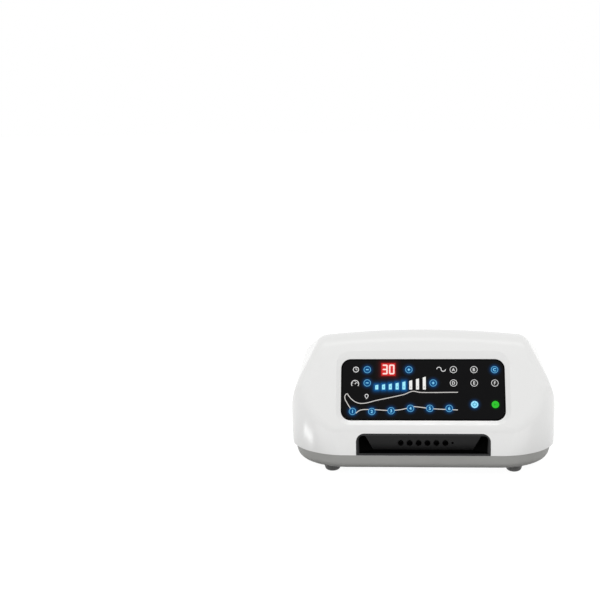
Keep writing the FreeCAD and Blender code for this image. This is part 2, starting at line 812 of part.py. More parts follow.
def lower_housing():
    """Grey tray: tapered wall, floor, screw bosses, board posts, foot holes and air slots."""
    body = new_body("lower_housing")
    height = "(Sizes.parting_height - Sizes.foot_height)"
    shrink = f"{height} * tan(Sizes.tray_taper)"
    width = "(Sizes.body_width - 2 * Sizes.side_tuck - 2 * Sizes.tray_step)"
    depth = "(Sizes.body_depth - 2 * Sizes.tray_step)"
    corner = "(Sizes.plan_corner - Sizes.side_tuck - Sizes.tray_step)"
    rim = new_sketch(body, "tray_outline", "Sizes.parting_height")
    draw_rounded(rim, width, depth, corner)
    tub = pad(body, rim, height, down=True, taper="-Sizes.tray_taper")
    doc.recompute()
    round_level_edges(body, tub, "tray_lower_edge", S.foot_height, "Sizes.tray_edge")
    hollow = new_sketch(body, "tray_hollow", "Sizes.parting_height")
    draw_rounded(hollow, f"{width} - 2 * Sizes.wall", f"{depth} - 2 * Sizes.wall", f"{corner} - Sizes.wall")
    hollowed = pocket(body, hollow, f"{height} - Sizes.wall", taper="-Sizes.tray_taper")
    doc.recompute()
    round_level_edges(body, hollowed, "tray_inner_edge", TRAY_FLOOR, "Sizes.tray_edge - Sizes.wall")
    doc.recompute()
    floor = "Sizes.foot_height + Sizes.wall / 2"
    bosses = new_sketch(body, "tray_bosses", floor)
    for x, y in column_places():
        draw_circle(bosses, "Sizes.column_radius + Sizes.wall / 2", x, y)
    for x in (-EAR_COLUMN, EAR_COLUMN):
        draw_circle(bosses, "Sizes.post_radius", x, EAR_ROW)
    pad(body, bosses, "Sizes.parting_height - Sizes.foot_height - Sizes.wall / 2")
    posts = new_sketch(body, "tray_posts", floor)
    for x, y in post_places():
        draw_circle(posts, "Sizes.post_radius", x, y)
    pad(body, posts, "Sizes.post_height + Sizes.wall / 2")
    heads = new_sketch(body, "tray_screw_recesses", "Sizes.foot_height")
    holes = new_sketch(body, "tray_screw_holes", "Sizes.foot_height")
    for x, y in column_places():
        draw_circle(heads, "Sizes.housing_head_radius + Sizes.screw_gap", x, y)
        draw_circle(holes, "Sizes.housing_screw_radius + Sizes.screw_gap", x, y)
    pocket(body, heads, "Sizes.housing_head_recess", up=True)
    pocket(body, holes, "Sizes.parting_height", up=True)
    stems = new_sketch(body, "tray_foot_holes", "Sizes.foot_height")
    for x, y in foot_places().values():
        draw_circle(stems, "Sizes.foot_stem_radius + Sizes.foot_stem_gap", x, y)
    pocket(body, stems, "Sizes.wall", up=True)
    threads = new_sketch(body, "tray_thread_holes", "Sizes.foot_height + Sizes.wall + 1")
    for x, y in post_places() + [(-EAR_COLUMN, EAR_ROW), (EAR_COLUMN, EAR_ROW)]:
        draw_circle(threads, "Sizes.post_screw_radius + Sizes.thread_gap", x, y)
    pocket(body, threads, "Sizes.parting_height", up=True)
    slots = new_sketch(body, "tray_air_slots", "Sizes.foot_height - 1")
    for index in range(VENTS):
        x = f"Sizes.pump_column + {index - (VENTS - 1) / 2} * Sizes.vent_pitch"
        draw_rectangle(slots, "Sizes.vent_width", "Sizes.vent_height", x, "Sizes.pump_row")
    pocket(body, slots, "2 * Sizes.wall", up=True)
    return node(body)


def foot_places():
    return {
        "foot_front_left": (-FOOT_COLUMN, -FOOT_ROW),
        "foot_front_right": (FOOT_COLUMN, -FOOT_ROW),
        "foot_back_left": (-FOOT_COLUMN, FOOT_ROW),
        "foot_back_right": (FOOT_COLUMN, FOOT_ROW),
    }


def feet():
    """Rubber cones with a rounded lower edge and a stem that is pushed into the tray."""
    for name, (x, y) in foot_places().items():
        cone = doc.addObject("Part::Cone", f"{name}_cone")
        cone.setExpression("Radius1", "Sizes.foot_base_radius")
        cone.setExpression("Radius2", "Sizes.foot_top_radius")
        cone.setExpression("Height", "Sizes.foot_height")
        move(cone, x, y, 0)
        doc.recompute()
        rounding = doc.addObject("Part::Fillet", f"{name}_edge")
        rounding.Base = cone
        lowest = [i for i, e in enumerate(cone.Shape.Edges, start=1) if e.BoundBox.ZMax < 0.1]
        rounding.Edges = [(i, S.foot_edge, S.foot_edge) for i in lowest]
        stem = cylinder(
            f"{name}_stem", "Sizes.foot_stem_radius", "Sizes.foot_stem_length", x, y, "Sizes.foot_height"
        )
        node(fuse(name, rounding, stem))


# ---------------------------------------------------------------- key panel, keys and control board


def control_panel():
    """Gloss plate with a round hole for each key."""
    body = new_body("control_panel", PANEL)
    outline = new_sketch(body, "panel_outline", PANEL_BACK)
    draw_rounded(
        outline, "Sizes.panel_width", "Sizes.panel_height", "Sizes.panel_corner", "0",
        "Sizes.panel_height / 2"
    )
    pad(body, outline, "Sizes.panel_thickness")
    holes = new_sketch(body, "panel_key_holes", PANEL_BACK)
    for column, line in key_places().values():
        draw_circle(holes, "Sizes.key_diameter / 2 + Sizes.key_gap", column, line)
    pocket(body, holes, "Sizes.panel_thickness", up=True)
    return node(body)


def panel_gasket():
    """Thin foam ring between the panel and its seat."""
    body = new_body("panel_gasket", PANEL)
    ring = new_sketch(body, "gasket_ring", SEAT)
    for inset in ("Sizes.panel_gap", "Sizes.seat_width - Sizes.panel_gap"):
        width = f"Sizes.panel_width - 2 * ({inset})"
        height = f"Sizes.panel_height - 2 * ({inset})"
        draw_rounded(ring, width, height, f"Sizes.panel_corner - ({inset})", "0", "Sizes.panel_height / 2")
    pad(body, ring, "Sizes.gasket_thickness")
    return node(body)


def keys():
    """Round caps flush with the panel, each held behind it by a flange and pushed out by its switch."""
    for name, (column, line) in key_places().items():
        body = new_body(name, PANEL)
        cap = new_sketch(body, f"{name}_cap", PANEL_TOP)
        draw_circle(cap, "Sizes.key_diameter / 2", column, line)
        pad(body, cap, "Sizes.panel_thickness + Sizes.flange_gap", down=True)
        flange = new_sketch(body, f"{name}_flange", PANEL_BACK - S.flange_gap)
        draw_circle(flange, "Sizes.key_flange / 2", column, line)
        pad(body, flange, "Sizes.key_flange_thickness", down=True)
        node(body)


def control_board():
    """Circuit board behind the panel, screwed to the back of the seat."""
    body = new_body("control_board", PANEL)
    outline = new_sketch(body, "control_board_outline", BOARD_TOP)
    draw_rectangle(
        outline,
        "Sizes.panel_width + 2 * Sizes.board_margin",
        "Sizes.panel_height + 2 * Sizes.board_margin",
        "0",
        "Sizes.panel_height / 2",
    )
    pad(body, outline, "Sizes.board_thickness", down=True)
    holes = new_sketch(body, "control_board_holes", BOARD_TOP)
    for x, y in board_screw_places():
        draw_circle(holes, "Sizes.small_screw_radius + Sizes.screw_gap", x, y)
    pocket(body, holes, "Sizes.board_thickness")
    return node(body)


def board_screw_places():
    column = S.panel_width / 2 + S.panel_gap + S.small_screw_radius / 2
    return [(x, y) for x in (-column, column) for y in (S.board_screw_low, S.board_screw_high)]


def tact_switches():
    """One low switch under each key, with a round plunger that just clears the pressed key."""
    key_height = "(Sizes.flange_gap + Sizes.key_flange_thickness + Sizes.key_travel)"
    plunger_top = f"Sizes.gasket_thickness + Sizes.seat_depth - {key_height} - Sizes.plunger_gap"
    switches = []
    for name, (column, line) in key_places().items():
        body = new_body(f"{name}_switch", PANEL)
        base = new_sketch(body, f"{name}_switch_base", BOARD_TOP)
        draw_rectangle(base, "Sizes.switch_side", "Sizes.switch_side", column, line)
        pad(body, base, "Sizes.switch_height")
        plunger = new_sketch(body, f"{name}_switch_plunger", BOARD_TOP)
        draw_circle(plunger, "Sizes.plunger_diameter / 2", column, line)
        pad(body, plunger, plunger_top)
        switches.append(body)
    return node(group("tact_switches", switches))


def timer_display():
    """Two-digit light module behind the panel."""
    body = new_body("timer_display", PANEL)
    outline = new_sketch(body, "timer_outline", BOARD_TOP)
    draw_rectangle(
        outline, "Sizes.display_width", "Sizes.display_height", "Sizes.display_column", "Sizes.display_row"
    )
    pad(body, outline, "Sizes.light_height")
    return node(body)


def pressure_bars():
    """Eight light bars behind the panel, each a step taller than the last."""
    bars = []
    for index in range(BARS):
        height = f"(Sizes.bar_first + {index} / {BARS - 1} * (Sizes.bar_last - Sizes.bar_first))"
        body = new_body(f"pressure_bar_{index + 1}", PANEL)
        outline = new_sketch(body, f"pressure_bar_{index + 1}_outline", BOARD_TOP)
        column = f"Sizes.bar_column + {index} * Sizes.bar_pitch"
        draw_rectangle(outline, "Sizes.bar_width", height, column, f"Sizes.bar_row + {height} / 2")
        pad(body, outline, "Sizes.light_height")
        bars.append(body)
    return node(group("pressure_bars", bars))


def infrared_receiver():
    """Receiver for the handheld remote, behind the dark panel."""
    body = new_body("infrared_receiver", PANEL)
    outline = new_sketch(body, "receiver_outline", BOARD_TOP)
    draw_rectangle(
        outline,
        "Sizes.receiver_width",
        "Sizes.receiver_height",
        "Sizes.receiver_column",
        "Sizes.receiver_row",
    )
    pad(body, outline, "Sizes.receiver_thickness")
    return node(body)


# ---------------------------------------------------------------- hose socket


def inner_half(height):
    """Half width of the opening round the ports at a height: its sides lean in towards the sill."""
    lean = (INNER_HALF - INNER_HALF_LOW) / (INNER_TOP - SILL_TOP)
    return INNER_HALF_LOW + lean * (height - SILL_TOP)


def socket_frame(outer):
    """Portal round the socket: a rim flush with the shell and side walls that draw in to the ports."""
    block = socket_prism(0.0, FRONT - 5, PORT_BACK)
    low = S.parting_height - 2 * S.wall
    share = 1 + 5 / S.socket_depth

    def opening(out, corner, y):
        """The opening's outline, from 0 at the ports to 1 at the shell."""
        top = INNER_TOP + S.socket_draft_top * out
        front_half = SOCKET_HALF - S.socket_rim
        foot, head = (half + (front_half - half) * out for half in (inner_half(low), INNER_HALF))
        points = [(-foot, low), (foot, low), (head, top), (-head, top)]
        return rounded_wire(points, [0, 0, corner, corner], lambda p: Vector(p.x, y, p.y))

    corner = S.socket_corner - S.socket_rim
    mouth = Part.makeLoft([opening(share, corner, FRONT - 5), opening(0.0, 1.0, SOCKET_BACK)], True)
    rear = Part.Face(opening(0.0, 0.0, SOCKET_BACK - 0.001))
    bay = rear.extrude(Vector(0, S.port_length + 1, 0))
    ears = []
    for x in (-EAR_COLUMN, EAR_COLUMN):
        corner_point = Vector(x - S.ear_width / 2 - 1, EAR_ROW - S.ear_length / 2, S.parting_height)
        ears.append(Part.makeBox(S.ear_width + 2, S.ear_length, S.ear_thickness, corner_point))
    floor = Part.makeBox(
        2 * S.body_width, 2 * S.body_depth, S.parting_height, Vector(-S.body_width, -S.body_depth, 0)
    )
    frame = block.common(outer).fuse(ears).cut([mouth, bay, floor])
    holes = []
    for x in (-EAR_COLUMN, EAR_COLUMN):
        start = Vector(x, EAR_ROW, S.parting_height - 1)
        holes.append(Part.makeCylinder(S.post_screw_radius + S.screw_gap, 3 * S.ear_thickness, start))
    return node(feature("socket_frame", frame.cut(holes).removeSplitter()))


def socket_sill(frame, outer):
    """Floor of the socket, between the frame's legs."""
    front_half = SOCKET_HALF - S.socket_rim
    slab = Part.makeBox(
        2 * front_half,
        PORT_BACK - FRONT + 5,
        S.socket_rim,
        Vector(-front_half, FRONT - 5, S.parting_height),
    )
    return node(feature("socket_sill", slab.common(outer).cut(frame.Shape)))


def air_ports():
    """Six moulded sockets side by side, each with a bore for the hose plug and a barb behind."""
    ports = []
    for index in range(PORTS):
        x = f"{index - (PORTS - 1) / 2} * Sizes.port_pitch"
        block = box(
            f"port_{index + 1}_block", "Sizes.port_pitch", "Sizes.port_length", f"{INNER_TOP - SILL_TOP}",
            x, f"{SOCKET_BACK} + Sizes.port_length / 2", SILL_TOP,
        )
        barb = cylinder(
            f"port_{index + 1}_barb", "Sizes.barb_radius", "Sizes.barb_length", x, PORT_BACK,
            "Sizes.port_height", "+Y"
        )
        bore = cylinder(
            f"port_{index + 1}_bore", "Sizes.port_radius", "Sizes.port_length - Sizes.port_floor",
            x, SOCKET_BACK, "Sizes.port_height", "+Y",
        )
        duct = cylinder(
            f"port_{index + 1}_duct", "Sizes.barb_bore", "Sizes.port_length + 2 * Sizes.barb_length",
            x, SOCKET_BACK, "Sizes.port_height", "+Y",
        )
        ports.append(cut(f"port_{index + 1}", fuse(f"port_{index + 1}_body", block, barb), bore, duct))
    return node(group("air_ports", ports))


def port_plates():
    """Blank walls of the socket on both sides of the ports, the right one with the plug's guide hole."""
    row_end = S.port_pitch * PORTS / 2
    plates = []
    for side in (-1, 1):
        low, high = (INNER_HALF_LOW, SILL_TOP), (INNER_HALF, INNER_TOP)
        corners = [(row_end, SILL_TOP), low, high, (row_end, INNER_TOP), (row_end, SILL_TOP)]
        outline = Part.makePolygon([Vector(side * x, SOCKET_BACK, z) for x, z in corners])
        plates.append(Part.Face(outline).extrude(Vector(0, S.plate_thickness, 0)))
    start = Vector(row_end + S.guide_radius + S.guide_offset, SOCKET_BACK, S.port_height)
    plates[1] = plates[1].cut(Part.makeCylinder(S.guide_radius, S.plate_thickness, start, Vector(0, 1, 0)))
    return node(feature("port_plates", Part.makeCompound(plates)))


# ---------------------------------------------------------------- hoses and distributor valve


def air_tubes():
    """Six short hoses from the ports to the valve."""
    tubes = []
    for index in range(PORTS):
        x = f"{index - (PORTS - 1) / 2} * Sizes.port_pitch"
        inner = "Sizes.barb_radius + Sizes.hose_gap"
        start = PORT_BACK + S.hose_gap
        # the hose covers both barbs and its ends stand just clear of the port and the valve
        length = "Sizes.hose_length + Sizes.barb_length - 2 * Sizes.hose_gap"
        outside = cylinder(
            f"tube_{index + 1}_outside", f"{inner} + Sizes.hose_wall", length, x, start,
            "Sizes.port_height", "+Y"
        )
        inside = cylinder(f"tube_{index + 1}_inside", inner, length, x, start, "Sizes.port_height", "+Y")
        tubes.append(cut(f"tube_{index + 1}", outside, inside))
    return node(group("air_tubes", tubes))


def valve_body():
    """Block with six barbs towards the ports, one on top for the supply, and a round chamber."""
    height = f"Sizes.valve_top - {TRAY_FLOOR}"
    parts = [
        box("valve_block", "Sizes.valve_width", "Sizes.valve_depth", height, "0", VALVE_ROW, TRAY_FLOOR)
    ]
    cutters = [
        cylinder(
            "valve_chamber", "Sizes.chamber_radius + Sizes.running_gap", "Sizes.chamber_depth",
            "0", VALVE_ROW, CHAMBER_FLOOR,
        )
    ]
    for index in range(PORTS):
        x = f"{index - (PORTS - 1) / 2} * Sizes.port_pitch"
        parts.append(
            cylinder(
                f"valve_barb_{index + 1}", "Sizes.barb_radius", "Sizes.barb_length", x, VALVE_FRONT,
                "Sizes.port_height", "-Y"
            )
        )
        cutters.append(
            cylinder(
                f"valve_duct_{index + 1}", "Sizes.barb_bore", "2 * Sizes.barb_length", x, VALVE_FRONT + 2,
                "Sizes.port_height", "-Y"
            )
        )
    parts.append(
        cylinder(
            "valve_supply_barb", "Sizes.barb_radius", "Sizes.barb_length", HEAD_COLUMN, VALVE_ROW,
            "Sizes.valve_top",
        )
    )
    cutters.append(
        cylinder(
            "valve_supply_duct", "Sizes.barb_bore", "3 * Sizes.barb_length", HEAD_COLUMN, VALVE_ROW,
            S.valve_top - S.barb_length,
        )
    )
    return node(cut("valve_body", fuse("valve_solid", *parts), *cutters))


# the supply hose rises from the pump's right head and comes down on the valve


def valve_rotor():
    """Disc with one through hole that feeds the chambers in turn, on its shaft."""
    base = CHAMBER_FLOOR + S.end_gap
    disc = cylinder("rotor_disc", "Sizes.chamber_radius", "Sizes.rotor_thickness", "0", VALVE_ROW, base)
    shaft = cylinder(
        "rotor_shaft", "Sizes.shaft_radius", "Sizes.rotor_thickness + Sizes.shaft_length", "0", VALVE_ROW,
        base
    )
    passage = cylinder(
        "rotor_passage", "Sizes.barb_bore", "Sizes.rotor_thickness",
        "Sizes.chamber_radius / 2 + Sizes.barb_bore",
        VALVE_ROW, base,
    )
    return node(cut("valve_rotor", fuse("rotor_solid", disc, shaft), passage))


def valve_motor():
    """Geared motor on a flange that closes the valve's chamber."""
    flange = box(
        "motor_flange", "Sizes.motor_flange_width", "Sizes.motor_flange_depth",
        "Sizes.motor_flange_thickness",
        "0", VALVE_ROW, "Sizes.valve_top",
    )
    can = cylinder(
        "motor_can", "Sizes.motor_radius", "Sizes.motor_height", "0", VALVE_ROW, "Sizes.valve_top"
    )
    shaft_top = CHAMBER_FLOOR + S.end_gap + S.rotor_thickness + S.shaft_length
    bore = cylinder(
        "motor_bore", "Sizes.shaft_radius + Sizes.running_gap",
        f"{shaft_top + S.end_gap} - Sizes.valve_top",
        "0", VALVE_ROW, "Sizes.valve_top",
    )
    return node(cut("valve_motor", fuse("motor_solid", flange, can), bore))


def supply_tube():
    """Hose from the pump's head up, over and down to the valve, in one upright plane."""
    body = new_body("supply_tube", Placement(Vector(HEAD_COLUMN, 0, 0), Rotation()))
    radius = (S.supply_row - VALVE_ROW) / 2
    centre_row = (S.supply_row + VALVE_ROW) / 2
    top = PUMP_TOP + S.supply_rise
    path = new_sketch(body, "supply_path", "0", "YZ_Plane")
    up = Part.LineSegment(Vector(S.supply_row, PUMP_TOP + S.hose_gap), Vector(S.supply_row, top))
    over = Part.ArcOfCircle(Part.Circle(Vector(centre_row, top), Vector(0, 0, 1), radius), 0, math.pi)
    down = Part.LineSegment(Vector(VALVE_ROW, top), Vector(VALVE_ROW, S.valve_top + S.hose_gap))
    path.addGeometry([up, over, down])
    path.addConstraint(Sketcher.Constraint("Tangent", 0, 2, 1, 1))
    path.addConstraint(Sketcher.Constraint("Tangent", 1, 2, 2, 1))
    ring = new_sketch(body, "supply_ring", PUMP_TOP + S.hose_gap)
    draw_circle(ring, "Sizes.barb_radius + Sizes.hose_gap + Sizes.hose_wall", "0", S.supply_row)
    draw_circle(ring, "Sizes.barb_radius + Sizes.hose_gap", "0", S.supply_row)
    pipe = body.newObject("PartDesign::AdditivePipe", "supply_pipe")
    pipe.Profile = ring
    pipe.Spine = path
    body.Tip = pipe
    return node(body)


# ---------------------------------------------------------------- linear air pump


def compressor_frame():
    """Square tube that holds the coils, open at both ends for the heads."""
    outside = box(
        "pump_outside", "Sizes.pump_frame_width", "Sizes.pump_depth", "Sizes.pump_height",
        "Sizes.pump_column", "Sizes.pump_row", PUMP_BOTTOM,
    )
    inside = box(
        "pump_inside", "2 * Sizes.pump_frame_width", "Sizes.pump_depth - 2 * Sizes.pump_wall",
        "Sizes.pump_height - 2 * Sizes.pump_wall", "Sizes.pump_column", "Sizes.pump_row",
        f"{PUMP_BOTTOM} + Sizes.pump_wall",
    )
    return node(cut("compressor_frame", outside, inside))


def compressor_heads():
    """Two pump heads, each with a chamber for its diaphragm; the right one has the outlet barb."""
    heads = []
    for side, name in ((-1, "left"), (1, "right")):
        x = S.pump_column + side * (S.pump_frame_width + S.head_width) / 2
        inner_face = S.pump_column + side * S.pump_frame_width / 2
        start = inner_face if side > 0 else inner_face - S.head_chamber
        solid = box(
            f"head_{name}_block", "Sizes.head_width", "Sizes.pump_depth", "Sizes.pump_height",
            x, "Sizes.pump_row", PUMP_BOTTOM,
        )
        cutters = [
            cylinder(
                f"head_{name}_chamber", "Sizes.head_bore", "Sizes.head_chamber", start, "Sizes.pump_row",
                PUMP_MIDDLE, "+X"
            )
        ]
        if side > 0:
            barb = cylinder(
                "head_outlet_barb", "Sizes.barb_radius", "Sizes.barb_length", x, "Sizes.supply_row",
                PUMP_TOP
            )
            solid = fuse("head_right_solid", solid, barb)
            cutters.append(
                cylinder(
                    "head_outlet_duct", "Sizes.barb_bore", "3 * Sizes.barb_length", x, "Sizes.supply_row",
                    PUMP_TOP - S.barb_length
                )
            )
        heads.append(cut(f"head_{name}", solid, *cutters))
    return node(group("compressor_heads", heads))


def compressor_coils():
    """Two coils on the frame's side walls."""
    coils = []
    inner_half = S.pump_depth / 2 - S.pump_wall
    for side, name in ((-1, "front"), (1, "back")):
        y = S.pump_row + side * (inner_half - S.coil_depth / 2)
        coils.append(
            box(
                f"coil_{name}", "Sizes.coil_width", "Sizes.coil_depth", "Sizes.coil_height",
                "Sizes.pump_column", y, PUMP_MIDDLE - S.coil_height / 2,
            )
        )
    return node(group("compressor_coils", coils))


def compressor_armature():
    """Magnet bar that swings along X, with a diaphragm disc at each end."""
    span = S.pump_frame_width + S.head_chamber - S.diaphragm_thickness
    bar = box(
        "armature_bar", f"{span}", "Sizes.armature_depth", "Sizes.armature_height",
        "Sizes.pump_column", "Sizes.pump_row", PUMP_MIDDLE - S.armature_height / 2,
    )
    discs = []
    for side, name in ((-1, "left"), (1, "right")):
        middle = S.pump_column + side * (S.pump_frame_width + S.head_chamber) / 2
        discs.append(
            cylinder(
                f"armature_disc_{name}", "Sizes.head_bore - Sizes.diaphragm_gap",
                "Sizes.diaphragm_thickness",
                middle - S.diaphragm_thickness / 2, "Sizes.pump_row", PUMP_MIDDLE, "+X",
            )
        )
    return node(fuse("compressor_armature", bar, *discs))


def compressor_mounts():
    """Four soft rubber posts that carry the pump on the tray."""
    mounts = []
    inset = S.mount_radius + 1
    for ix, x in enumerate((-1, 1)):
        for iy, y in enumerate((-1, 1)):
            column = S.pump_column + x * (S.pump_frame_width / 2 - inset)
            line = S.pump_row + y * (S.pump_depth / 2 - inset)
            mounts.append(
                cylinder(
                    f"mount_{2 * ix + iy + 1}", "Sizes.mount_radius", "Sizes.mount_height", column, line,
                    TRAY_FLOOR
                )
            )
    return node(group("compressor_mounts", mounts))


def intake_filter():
    """Felt filter cup on the left head."""
    x = S.pump_column - (S.pump_frame_width + S.head_width) / 2
    side = "Sizes.head_width"
    cup = cylinder("filter_cup", f"{side} / 2", "Sizes.filter_height", x, "Sizes.pump_row", PUMP_TOP)
    cap = cylinder(
        "filter_cap", "Sizes.filter_radius", "Sizes.filter_height / 3", x, "Sizes.pump_row",
        PUMP_TOP + S.filter_height
    )
    return node(fuse("intake_filter", cup, cap))


# ---------------------------------------------------------------- main board


def post_places():
    """The main board's four screw places."""
    half_x = S.main_board_width / 2 - S.post_inset
    half_y = S.main_board_depth / 2 - S.post_inset
    return [
        (MAIN_BOARD_COLUMN + x * half_x, S.main_board_row + y * half_y)
        for x in (-1, 1)
        for y in (-1, 1)
    ]


def main_board():
    body = new_body("main_board")
    outline = new_sketch(body, "main_board_outline", MAIN_BOARD_BOTTOM)
    draw_rectangle(
        outline, "Sizes.main_board_width", "Sizes.main_board_depth", MAIN_BOARD_COLUMN,
        "Sizes.main_board_row"
    )
    pad(body, outline, "Sizes.board_thickness")
    holes = new_sketch(body, "main_board_holes", MAIN_BOARD_BOTTOM)
    for x, y in post_places():
        draw_circle(holes, "Sizes.post_screw_radius + Sizes.screw_gap", x, y)
    pocket(body, holes, "Sizes.board_thickness", up=True)
    return node(body)


def transformer():
    """Laminated core with its winding standing out at the front and back."""
    x = MAIN_BOARD_COLUMN + S.main_board_width / 2 - S.transformer_width / 2 - S.post_inset
    y = S.main_board_row
    core = box(
        "transformer_core", "Sizes.transformer_width", "Sizes.transformer_depth - 2 * Sizes.winding_margin",
        "Sizes.transformer_height", x, y, MAIN_BOARD_TOP,
    )
    winding = box(
        "transformer_winding", "Sizes.transformer_width - 2 * Sizes.winding_margin",
        "Sizes.transformer_depth",
        "Sizes.transformer_height - 2 * Sizes.winding_margin", x, y, MAIN_BOARD_TOP + S.winding_margin,
    )
    return node(fuse("transformer", core, winding))


def capacitors():
    """A row of smoothing capacitors."""
    cans = []
    for index in range(CAPACITORS):
        x = MAIN_BOARD_COLUMN - S.main_board_width / 4 + (index - 1) * S.capacitor_pitch
        cans.append(
            cylinder(
                f"capacitor_{index + 1}", "Sizes.capacitor_radius", "Sizes.capacitor_height", x,
                "Sizes.main_board_row + 10", MAIN_BOARD_TOP
            )
        )
    return node(group("capacitors", cans))


def fuse_link():
    """Glass fuse held over the board by two clips."""
    x = MAIN_BOARD_COLUMN - S.main_board_width / 4
    y = S.main_board_row - 10
    height = MAIN_BOARD_TOP + S.fuse_lift
    link = cylinder(
        "fuse_glass", "Sizes.fuse_radius", "Sizes.fuse_length", x - S.fuse_length / 2, y, height, "+X"
    )
    clips = [
        box(
            f"fuse_clip_{index}", "Sizes.fuse_clip", "2 * Sizes.fuse_radius", "Sizes.fuse_lift",
            x + side * (S.fuse_length - S.fuse_clip) / 2, y, MAIN_BOARD_TOP,
        )
        for index, side in ((1, -1), (2, 1))
    ]
    return node(fuse("fuse", link, *clips))


def buzzer():
    x = MAIN_BOARD_COLUMN - S.main_board_width / 4
    y = S.main_board_row - S.main_board_depth / 2 + S.buzzer_radius + 2
    return node(cylinder("buzzer", "Sizes.buzzer_radius", "Sizes.buzzer_height", x, y, MAIN_BOARD_TOP))


# ---------------------------------------------------------------- mains inlet and rocker switch


def power_inlet():
    """Three-pin inlet: a flange in the back wall and a hollow body behind it."""
    flange = box(
        "inlet_flange", "Sizes.inlet_flange_width", "Sizes.flange_thickness", "Sizes.inlet_flange_height",
        INLET_COLUMN, BACK - S.flange_thickness / 2, "Sizes.mains_height - Sizes.inlet_flange_height / 2",
    )
    housing = box(
        "inlet_body", "Sizes.inlet_body_width", "Sizes.inlet_body_depth", "Sizes.inlet_body_height",
        INLET_COLUMN, BACK - S.inlet_body_depth / 2, "Sizes.mains_height - Sizes.inlet_body_height / 2",
    )
    cavity = box(
        "inlet_cavity", "Sizes.inlet_cavity_width", "Sizes.inlet_cavity_depth", "Sizes.inlet_cavity_height",
        INLET_COLUMN, BACK - S.inlet_cavity_depth / 2, "Sizes.mains_height - Sizes.inlet_cavity_height / 2",
    )
    return node(cut("power_inlet", fuse("inlet_solid", flange, housing), cavity))


def inlet_pins():
    """Live, earth and neutral blades standing on the cavity's floor."""
    pins = []
    for name, column, lift in (("live", -1, -1), ("earth", 0, 1), ("neutral", 1, -1)):
        x = INLET_COLUMN + column * S.pin_pitch
        z = S.mains_height + lift * S.pin_offset - S.pin_height / 2
        y = BACK - S.inlet_cavity_depth + S.pin_length / 2
        pins.append(box(f"pin_{name}", "Sizes.pin_width", "Sizes.pin_length", "Sizes.pin_height", x, y, z))
    return node(group("inlet_pins", pins))


def rocker_opening():
    """Width and height of the hole that the rocker moves in."""
    return S.rocker_flange_width - 2 - 2 * S.rocker_wall, S.rocker_flange_height - 2 - 2 * S.rocker_wall


def switch_housing():
    """Rocker switch's case with its flange and two pivot holes."""
    wide, tall = rocker_opening()
    flange = box(
        "switch_flange", "Sizes.rocker_flange_width", "Sizes.flange_thickness",
        "Sizes.rocker_flange_height",
        SWITCH_COLUMN, BACK - S.flange_thickness / 2, "Sizes.mains_height - Sizes.rocker_flange_height / 2",
    )
    case = box(
        "switch_case", "Sizes.rocker_flange_width - 2", "Sizes.rocker_body_depth",
        "Sizes.rocker_flange_height - 2",
        SWITCH_COLUMN, BACK - S.rocker_body_depth / 2,
        "Sizes.mains_height - Sizes.rocker_flange_height / 2 + 1",
    )
    well = box(
        "switch_well", f"{wide}", "Sizes.rocker_body_depth - Sizes.rocker_wall", f"{tall}",
        SWITCH_COLUMN, BACK - (S.rocker_body_depth - S.rocker_wall) / 2, S.mains_height - tall / 2,
    )
    half = wide / 2 + S.pivot_length
    pivots = cylinder(
        "switch_pivots", "Sizes.pivot_radius + Sizes.running_gap", f"{2 * half}",
        SWITCH_COLUMN - half, ROCKER_PIVOT, "Sizes.mains_height", "+X",
    )
    return node(cut("switch_housing", fuse("switch_solid", flange, case), well, pivots))


def power_rocker():
    """Rocker with two flats that meet over its pivot, resting with its lower end pushed in."""
    wide, _ = rocker_opening()
    half = wide / 2 - S.rocker_gap
    tilt = math.radians(S.rocker_swing / 2)
    tip = S.rocker_crest + S.rocker_radius * math.tan(tilt)
    points = [
        (-S.rocker_crest, -S.rocker_radius / 2),
        (0, -S.rocker_radius),
        (tip, -S.rocker_radius),
        (S.rocker_crest, 0),
        (tip, S.rocker_radius),
        (0, S.rocker_radius),
        (-S.rocker_crest, S.rocker_radius / 2),
    ]
    outline = Part.makePolygon([Vector(-half, y, z) for y, z in points + points[:1]])
    lever = Part.Face(outline).extrude(Vector(2 * half, 0, 0))
    reach = wide / 2 + S.pivot_length - S.rocker_gap
    pivot = Part.makeCylinder(S.pivot_radius, 2 * reach, Vector(-reach, 0, 0), Vector(1, 0, 0))
    rocker = lever.fuse(pivot)
    at_rest = Rotation(Vector(1, 0, 0), -S.rocker_swing / 2)
    place = Placement(Vector(SWITCH_COLUMN, ROCKER_PIVOT, S.mains_height), at_rest)
    return node(feature("power_rocker", rocker, place))


# ---------------------------------------------------------------- fasteners


def screw(name, radius, length, head_radius, head_height):
    """A round-headed screw along +Z: the head ends and the shank starts at the origin."""
    shank = Part.makeCylinder(radius, length)
    head = Part.makeCylinder(head_radius, head_height, Vector(0, 0, -head_height))
    slot = Part.makeBox(
        2 * head_radius, head_radius / 3, head_height / 2,
        Vector(-head_radius, -head_radius / 6, -head_height)
    )
    return feature(name, shank.fuse(head).cut(slot).removeSplitter())


def screws(name, places, radius, length, head_radius, head_height):
    """One node of equal screws, each at its own placement."""
    parts = []
    for index, place in enumerate(places, start=1):
        part = screw(f"{name}_{index}", radius, length, head_radius, head_height)
        part.Placement = place
        parts.append(part)
    return node(group(name, parts))


